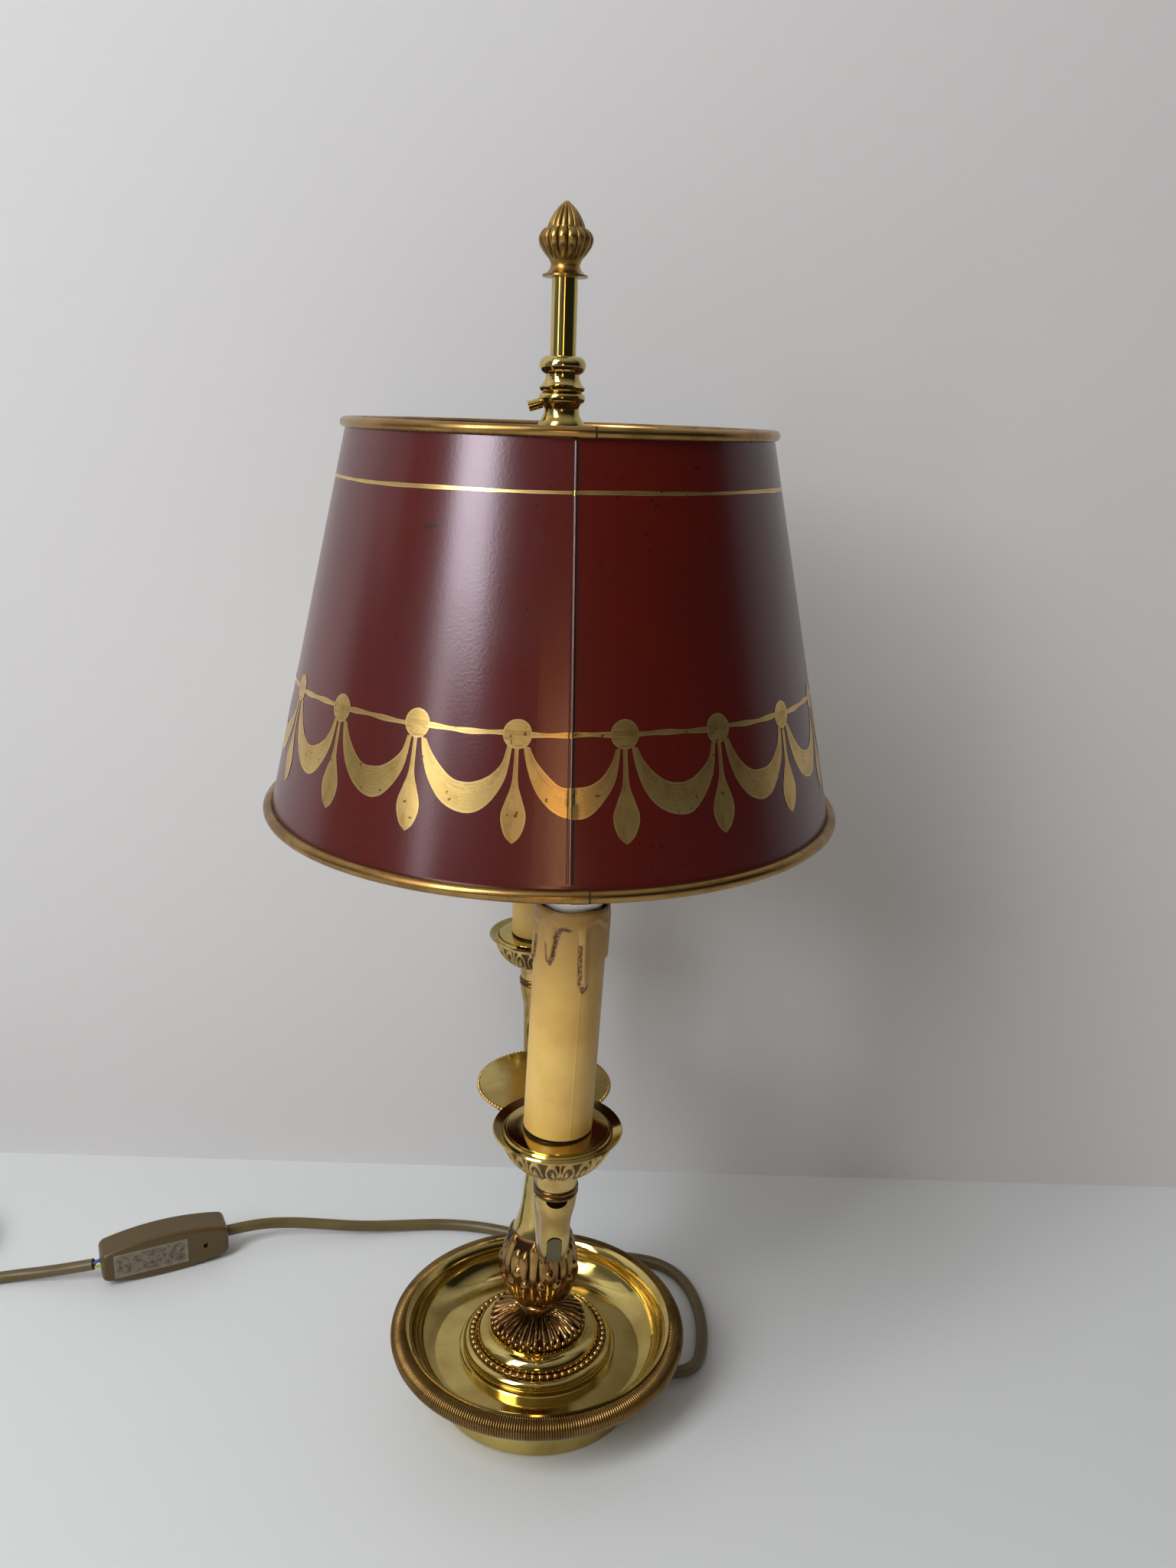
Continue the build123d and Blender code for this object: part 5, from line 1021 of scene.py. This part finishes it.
def along_line(line, steps):
    """A smooth line through the given points, as this many even steps."""
    fine = flow(line, 12)
    return [fine[round(k * (len(fine) - 1) / steps)] for k in range(steps + 1)]


gilding = Strokes()
rosettes, rosette_height, rosette_radius = 18, 352.7, 5.0
degree = 360 / rosettes
garland_radius, stretch = 104.0, 0.975
wide = math.degrees(1.0 / garland_radius)
# Outline of a swag from one rosette to the next, in shares of the distance and millimetres of fall. A
# drop's side is given in millimetres, as its half width and its fall.
swag_upper = [(0.12, 4.4), (0.17, 8.4), (0.27, 13.0), (0.40, 16.8), (0.53, 17.6), (0.66, 16.8)]
swag_upper += [(0.78, 13.8), (0.87, 9.6), (0.91, 4.6)]
swag_lower = [(0.06, 4.0), (0.10, 11.5), (0.18, 19.0), (0.32, 25.2), (0.50, 28.4), (0.66, 27.6)]
swag_lower += [(0.80, 22.4), (0.91, 14.6), (0.955, 4.4)]
drop_side = [(0.7, 4.0), (0.75, 10.0), (1.1, 17.0), (2.6, 22.0), (4.1, 27.0), (3.9, 31.0)]
drop_side += [(2.4, 35.0), (0.1, 37.4)]


def swag_edge(turn, edge, shake):
    """One edge of the swag that starts at this turn, drawn by an unsteady hand."""
    spots = []
    for share, fall in edge:
        height = rosette_height - fall * stretch + hands.uniform(-shake, shake)
        spots.append((turn + share * degree, height))
    return along_line(spots, 34)


def drop_edge(turn, side, slant, fat):
    """One side of the drop under the rosette at this turn."""
    spots = []
    for half, fall in drop_side:
        sideways = slant * fall / 20 + side * half * fat
        spots.append((turn + sideways * wide, rosette_height - fall * stretch))
    return along_line(spots, 28)


for k in range(rosettes):
    turn = degree * (k + 0.5) - 180
    rise = hands.uniform(-0.3, 0.3)
    gilding.disc(turn, rosette_height + rise, rosette_radius + hands.uniform(-0.25, 0.2))
    gilding.band(swag_edge(turn, swag_upper, 0.45), swag_edge(turn, swag_lower, 0.35), 10)
    slant, fat = hands.uniform(-0.25, 0.15), hands.uniform(0.92, 1.08)
    gilding.band(drop_edge(turn, -1, slant, fat), drop_edge(turn, 1, slant, fat), 8, 0.08)
    ends = [turn + wide * 4.0 + (degree - wide * 8.0) * j / 14 for j in range(15)]
    half = [0.85 + 0.18 * math.sin(j * 0.9 + k) for j in range(15)]
    gilding.rule(ends, rosette_height, [0.25 * math.sin(j * 0.35 + 2.1 * k) for j in range(15)], half)
line_height = 431.0
sweep = [-180 + 360 * j / 240 for j in range(241)]
waver = [0.28 * sine(2 * a + 15) + 0.10 * sine(9 * a) for a in sweep]
half = [0.62 + 0.12 * sine(7 * a) + 0.05 * sine(31 * a) for a in sweep]
gilding.rule(sweep, line_height, waver, half)
# Where the upper line, the garland's line and a swag cross the lap, the gold covers the bead too.
for high, low in ((431.9, 430.1), (353.6, 351.8), (335.6, 325.2)):
    line = [(seam_middle, high + (low - high) * k / 6) for k in range(7)]
    points, faces, depths = strip(line, [(x * 1.02, out + 0.05) for x, out in bead_section])
    first = len(gilding.points)
    gilding.points += points
    gilding.depths += depths
    gilding.faces += [tuple(first + i for i in face) for face in faces]
    gilding.uvs += [(0.5, 0.5)] * len(points)
shape = gilding.points, gilding.faces, gilding.depths
skin = piece("gilding", shape, gold, "shade", closed=False)


def map_strokes(mesh, points, uvs):
    """Lays the stroke map on a mesh whose points were merged: each corner takes its point's place."""
    lookup = {tuple(round(c * mm, 7) for c in p): uv for p, uv in zip(points, uvs)}
    layer = mesh.uv_layers.new(name="stroke")
    for loop in mesh.loops:
        spot = tuple(round(c, 7) for c in mesh.vertices[loop.vertex_index].co)
        layer.data[loop.index].uv = lookup.get(spot, (0.5, 0.5))


map_strokes(skin.data, gilding.points, gilding.uvs)

# ------------------------------------------------------------------ cord, switch and plug
# A round olive-brown plastic lead, 6 mm across, laid out as it was dropped: it comes out of the foot,
# turns round the dish and runs to the switch, which stands on its long edge.
cord_skin, tree, shader = new_paint("cord_pvc")
place = object_place(tree)
cloud = ramp(noise(place, 60.0, 4.0), 0.3, 0.7)
grime = ramp(noise(place, 420.0, 4.0), 0.55, 0.75)
colour = mix(cloud, (0.118, 0.084, 0.024), (0.090, 0.062, 0.016))
colour = mix(times(grime, 0.35), colour, (0.045, 0.030, 0.012))
fill(shader, {"Base Color": colour, "Roughness": 0.40})
wear(cord_skin, "strain_relief", "plug")
switch_plastic = plain("switch_plastic", (0.088, 0.054, 0.011), (0.070, 0.041, 0.008), 0.36, 300.0, 0.04)
wear(switch_plastic, "switch_front", "switch_back", "switch_rocker")
wear(steel, "switch_screw")
core_colours = {"brown": (0.10, 0.045, 0.02), "blue": (0.02, 0.05, 0.30), "earth": (0.45, 0.50, 0.05)}
for name, colour in core_colours.items():
    core = plain("wire_" + name, colour, tuple(0.8 * c for c in colour), 0.4, 600.0)
    wear(core, "wire_" + name)
pin_metal = plain("pin_metal", (0.62, 0.52, 0.30), (0.50, 0.40, 0.22), 0.28, 500.0, 0.05, 1.0)
plug_pins = ["plug_pin_live", "plug_pin_earth", "plug_pin_neutral"]
wear(pin_metal, *plug_pins)

cord_radius = 3.0
cord_height = cord_radius + 0.05


def free_cord(name, route, stands_for):
    """One free length of the lead on a smooth line with these points, in millimetres."""
    curve = bpy.data.curves.new(name, "CURVE")
    curve.dimensions = "3D"
    spline = curve.splines.new("NURBS")
    spline.points.add(len(route) - 1)
    for spot, (x, y, z) in zip(spline.points, route):
        spot.co = (x * mm, y * mm, z * mm, 1.0)
    spline.order_u = 3
    spline.use_endpoint_u = True
    curve.resolution_u = 12
    curve.bevel_depth = cord_radius * mm
    curve.bevel_resolution = 5
    curve.use_fill_caps = True
    curve.materials.append(cord_skin)
    made = fitted(stood(name, curve), "base", stands_for)


foot_radius, relief_run, exit_turn, exit_height = 48.5, 10.0, math.radians(-5.0), 6.2
exit_way = (math.cos(exit_turn), math.sin(exit_turn))
relief_tip = tuple((foot_radius + relief_run) * c for c in exit_way) + (exit_height,)
relief_near = tuple((foot_radius + relief_run + 8.9) * c for c in exit_way) + (exit_height,)
switch_x, switch_y, switch_level, switch_turn, switch_half = -199.6, 94.6, 12.0, math.radians(21.5), 33.0
switch_way = (math.cos(switch_turn), math.sin(switch_turn))


def from_switch(distance, height):
    """A point on the switch's long axis at a distance from its middle."""
    return (switch_x + distance * switch_way[0], switch_y + distance * switch_way[1], height)


beside_dish = [(85.2, 17.0), (87.6, 33.0), (87.2, 50.0), (84.0, 64.5), (77.5, 76.0), (68.0, 83.3)]
behind_dish = [(56.5, 86.8), (43.0, 89.2), (27.5, 94.0), (9.0, 103.6), (-10.5, 112.3)]
behind_dish += [(-31.0, 119.0), (-52.0, 121.6)]
base_route = [relief_tip, relief_near, (75.2, -2.6, 5.0), (81.2, 4.4, 3.6)]
base_route += [(x, y, cord_height + 0.02 * (k % 2)) for k, (x, y) in enumerate(beside_dish + behind_dish)]
base_route += [(-74.0, 119.9, 3.8), (-96.0, 117.6, 5.3), (-117.0, 117.6, 7.4), (-135.0, 116.5, 9.8)]
base_route += [from_switch(switch_half + 16.0, switch_level), from_switch(switch_half - 3.0, switch_level)]
free_cord(
    "lead_to_switch",
    base_route,
    ["cord_base"],
)

coil_x, coil_y, coil_turn, coil_rows = -341.8, 104.4, 33.0, 3
outer_turn = coil_turn + cord_radius * (coil_rows - 1)


def on_coil(radius, angle, height):
    """A point round the coil's middle."""
    return (coil_x + radius * cosine(angle), coil_y + radius * sine(angle), height)


sheath_x, sheath_y, _ = from_switch(-(switch_half + 3.5), 0)
plug_route = [(sheath_x, sheath_y + 0.2, 11.0)]
plug_route += [(-245.5, 81.6, 8.8), (-258.5, 83.2, 5.7), (-272.0, 84.2, 3.5)]
plug_route += [(-286.0, 82.2, cord_height), (-300.0, 76.8, cord_height + 0.02), (-316.0, 69.6, cord_height)]
plug_route += [on_coil(outer_turn, 280, cord_height + 0.02), on_coil(outer_turn + 0.8, 262, cord_height)]
# Six turns lie three beside each other in two layers, wound inwards below and outwards above. Each is
# given as (layer, turns in from the outside).
order = ((0, 0), (0, 1), (0, 2), (1, 2), (1, 1), (1, 0))
lanes = [(outer_turn - 2 * cord_radius * inner, layer) for layer, inner in order]
turns, per_turn = [], 18
for k in range(len(lanes) * per_turn + 1):
    done = k / per_turn
    lane = min(int(done), len(lanes) - 1)
    after = min(lane + 1, len(lanes) - 1)
    share = step(0.72, 1.0, done - lane)
    r, level = [a + (b - a) * share for a, b in zip(lanes[lane], lanes[after])]
    turns.append(on_coil(r, 242 - 360 * done, cord_height + 2 * cord_radius * 0.99 * level))
plug_turn = math.radians(97.0)
plug_way = (math.cos(plug_turn), math.sin(plug_turn))
plug_x, plug_y, plug_mid = coil_x - 60.0, coil_y + 12.0, 7.5
top = cord_height + 2 * cord_radius
end_route = [
    (coil_x - 38.0, coil_y - 19.5, top - 0.6),
    (coil_x - 50.5, coil_y - 10.2, top - 1.2),
    (plug_x - plug_way[0] * 11.0, plug_y - plug_way[1] * 11.0, plug_mid),
    (plug_x, plug_y, plug_mid),
]
free_cord(
    "lead_to_plug",
    plug_route + turns + end_route,
    ["cord_plug", "cord_coil", "cord_end"],
)

# ------------------------------------------------------------------ switch label
# A thin foil label stuck on the switch's broad face. It is bare, rubbed dull by handling, and has a paler
# border.
label_foil, tree, shader = new_paint("label_foil")
place = object_place(tree)
rubbed = ramp(noise(place, 330.0, 5.0, 0.7), 0.44, 0.60)
worn = mix(rubbed, (0.200, 0.165, 0.120), (0.085, 0.070, 0.052))
worn = mix(times(depth_in(tree), 0.8), worn, (0.27, 0.23, 0.17))
fill(shader, {"Base Color": worn, "Roughness": 0.45, "Metallic": 0.3})
switch_thick, rows, columns = 17.5, 6, 14
label_left, label_right, label_half, label_proud = -27.0, 11.0, 7.0, 0.06
points, depths = [], []
for i in range(rows + 1):
    for j in range(columns + 1):
        along = label_left + (label_right - label_left) * j / columns
        up = -label_half + 2 * label_half * i / rows
        out = switch_thick / 2 + label_proud
        x, y, z = from_switch(along, switch_level + up)
        points.append((x + switch_way[1] * out, y - switch_way[0] * out, z))
        depths.append(1.0 if i in (0, rows) or j in (0, columns) else 0.0)
shape = points, sheet_faces(rows + 1, columns + 1), depths
piece("switch_label", shape, label_foil, "base", closed=False)

# ------------------------------------------------------------------ table, wall, light and camera
# A pale table and wall. A tall soft window and its sill light the lamp from the left, with a faint one
# further round and a small warm lamp ahead, in a dim room.


def backdrop(name, corners, colour, roughness):
    """A flat stage surface. From behind, the camera sees through it to the lamp."""
    mesh = bpy.data.meshes.new(name)
    mesh.from_pydata(corners, [], [(0, 1, 2, 3)])
    paint, tree, shader = new_paint(name)
    fill(shader, {"Base Color": (*colour, 1), "Roughness": roughness})
    behind = tree.nodes.new("ShaderNodeNewGeometry").outputs["Backfacing"]
    seen = tree.nodes.new("ShaderNodeLightPath").outputs["Is Camera Ray"]
    clear = tree.nodes.new("ShaderNodeBsdfTransparent").outputs[0]
    either = put(tree, "ShaderNodeMixShader", {0: times(behind, seen), 1: shader.outputs[0], 2: clear})
    fill(tree.nodes["Material Output"], {"Surface": either.outputs[0]})
    mesh.materials.append(paint)
    stood(name, mesh)


wall_middle, wall_way = Vector((0.040, 0.178)), Vector((0.9967, -0.0813))
table_half, wall_half, wall_height = 4.0, 4.0, 2.6
wall_left, wall_right = wall_middle - wall_way * wall_half, wall_middle + wall_way * wall_half
table_corners = [(x * table_half, y * table_half, 0) for x, y in ((-1, -1), (1, -1), (1, 1), (-1, 1))]
wall_corners = [(*wall_left, 0), (*wall_right, 0), (*wall_right, wall_height), (*wall_left, wall_height)]
backdrop("table", table_corners, (0.66, 0.68, 0.69), 0.55)
backdrop("wall", wall_corners, (0.60, 0.60, 0.61), 0.8)
lit_height = 0.25  # metres above the table, where the lights aim


def window(name, turn, rise, width, height, distance, brightness, colour):
    """A soft rectangular light that faces the lamp, at an angle from the front and above the table."""
    light = bpy.data.lights.new(name, "AREA")
    light.shape = "RECTANGLE"
    light.size = width
    light.size_y = height
    light.energy = brightness * width * height * math.pi
    light.color = colour
    away = Vector((sine(turn) * cosine(rise), -cosine(turn) * cosine(rise), sine(rise)))
    facing = away.to_track_quat("Z", "Y").to_matrix().to_4x4()
    place = Matrix.Translation(Vector((0, 0, lit_height)) + away * distance)
    stood(name, light).matrix_world = place @ facing


window("window_left", -45, 38, 0.56, 1.32, 1.7, 10.8, (0.98, 0.99, 1.0))
window("window_sill", -52, 9, 0.22, 0.42, 1.7, 3.6, (1.0, 0.99, 0.95))
window("window_side", -100, 34, 0.90, 1.3, 1.7, 0.4, (1.0, 0.99, 0.97))
window("lamp_ahead", -3, 6, 0.20, 0.56, 1.8, 5.2, (1.0, 0.56, 0.22))

world = bpy.data.worlds.new("room")
bpy.context.scene.world = world
world.use_nodes = True
tree = world.node_tree
place = tree.nodes.new("ShaderNodeTexCoord").outputs["Generated"]
axes = put(tree, "ShaderNodeSeparateXYZ", {0: place}).outputs
side = ramp(axes["X"], -0.7, 0.1, 0.16, 0.02, "LINEAR")
above = ramp(axes["Z"], 0.45, 0.92, 0.0, 0.42, "LINEAR")
seen = tree.nodes.new("ShaderNodeLightPath").outputs["Is Camera Ray"]
level = spread(seen, math_of("ADD", side, above), 0.5)
fill(tree.nodes["Background"], {"Strength": level, "Color": (1.0, 0.98, 0.94, 1)})

scene = bpy.context.scene
scene.view_settings.view_transform = "Standard"
lens = bpy.data.cameras.new("camera")
lens.sensor_fit = "VERTICAL"
lens.sensor_height = 36.0
focal_length, picture_height = 1660.0, 2048.0  # in pixels
lens.lens = lens.sensor_height * focal_length / picture_height
camera = stood("camera", lens)
right = Vector((0.99625, -0.07987, 0.03315)).normalized()
forward = Vector((0.08598, 0.95572, -0.28145)).normalized()
up = right.cross(forward)
eye = Vector((-0.03106, -0.51628, 0.45711))
rows = [(right[k], up[k], -forward[k], eye[k]) for k in range(3)]
camera.matrix_world = Matrix([*rows, (0, 0, 0, 1)])
scene.camera = camera
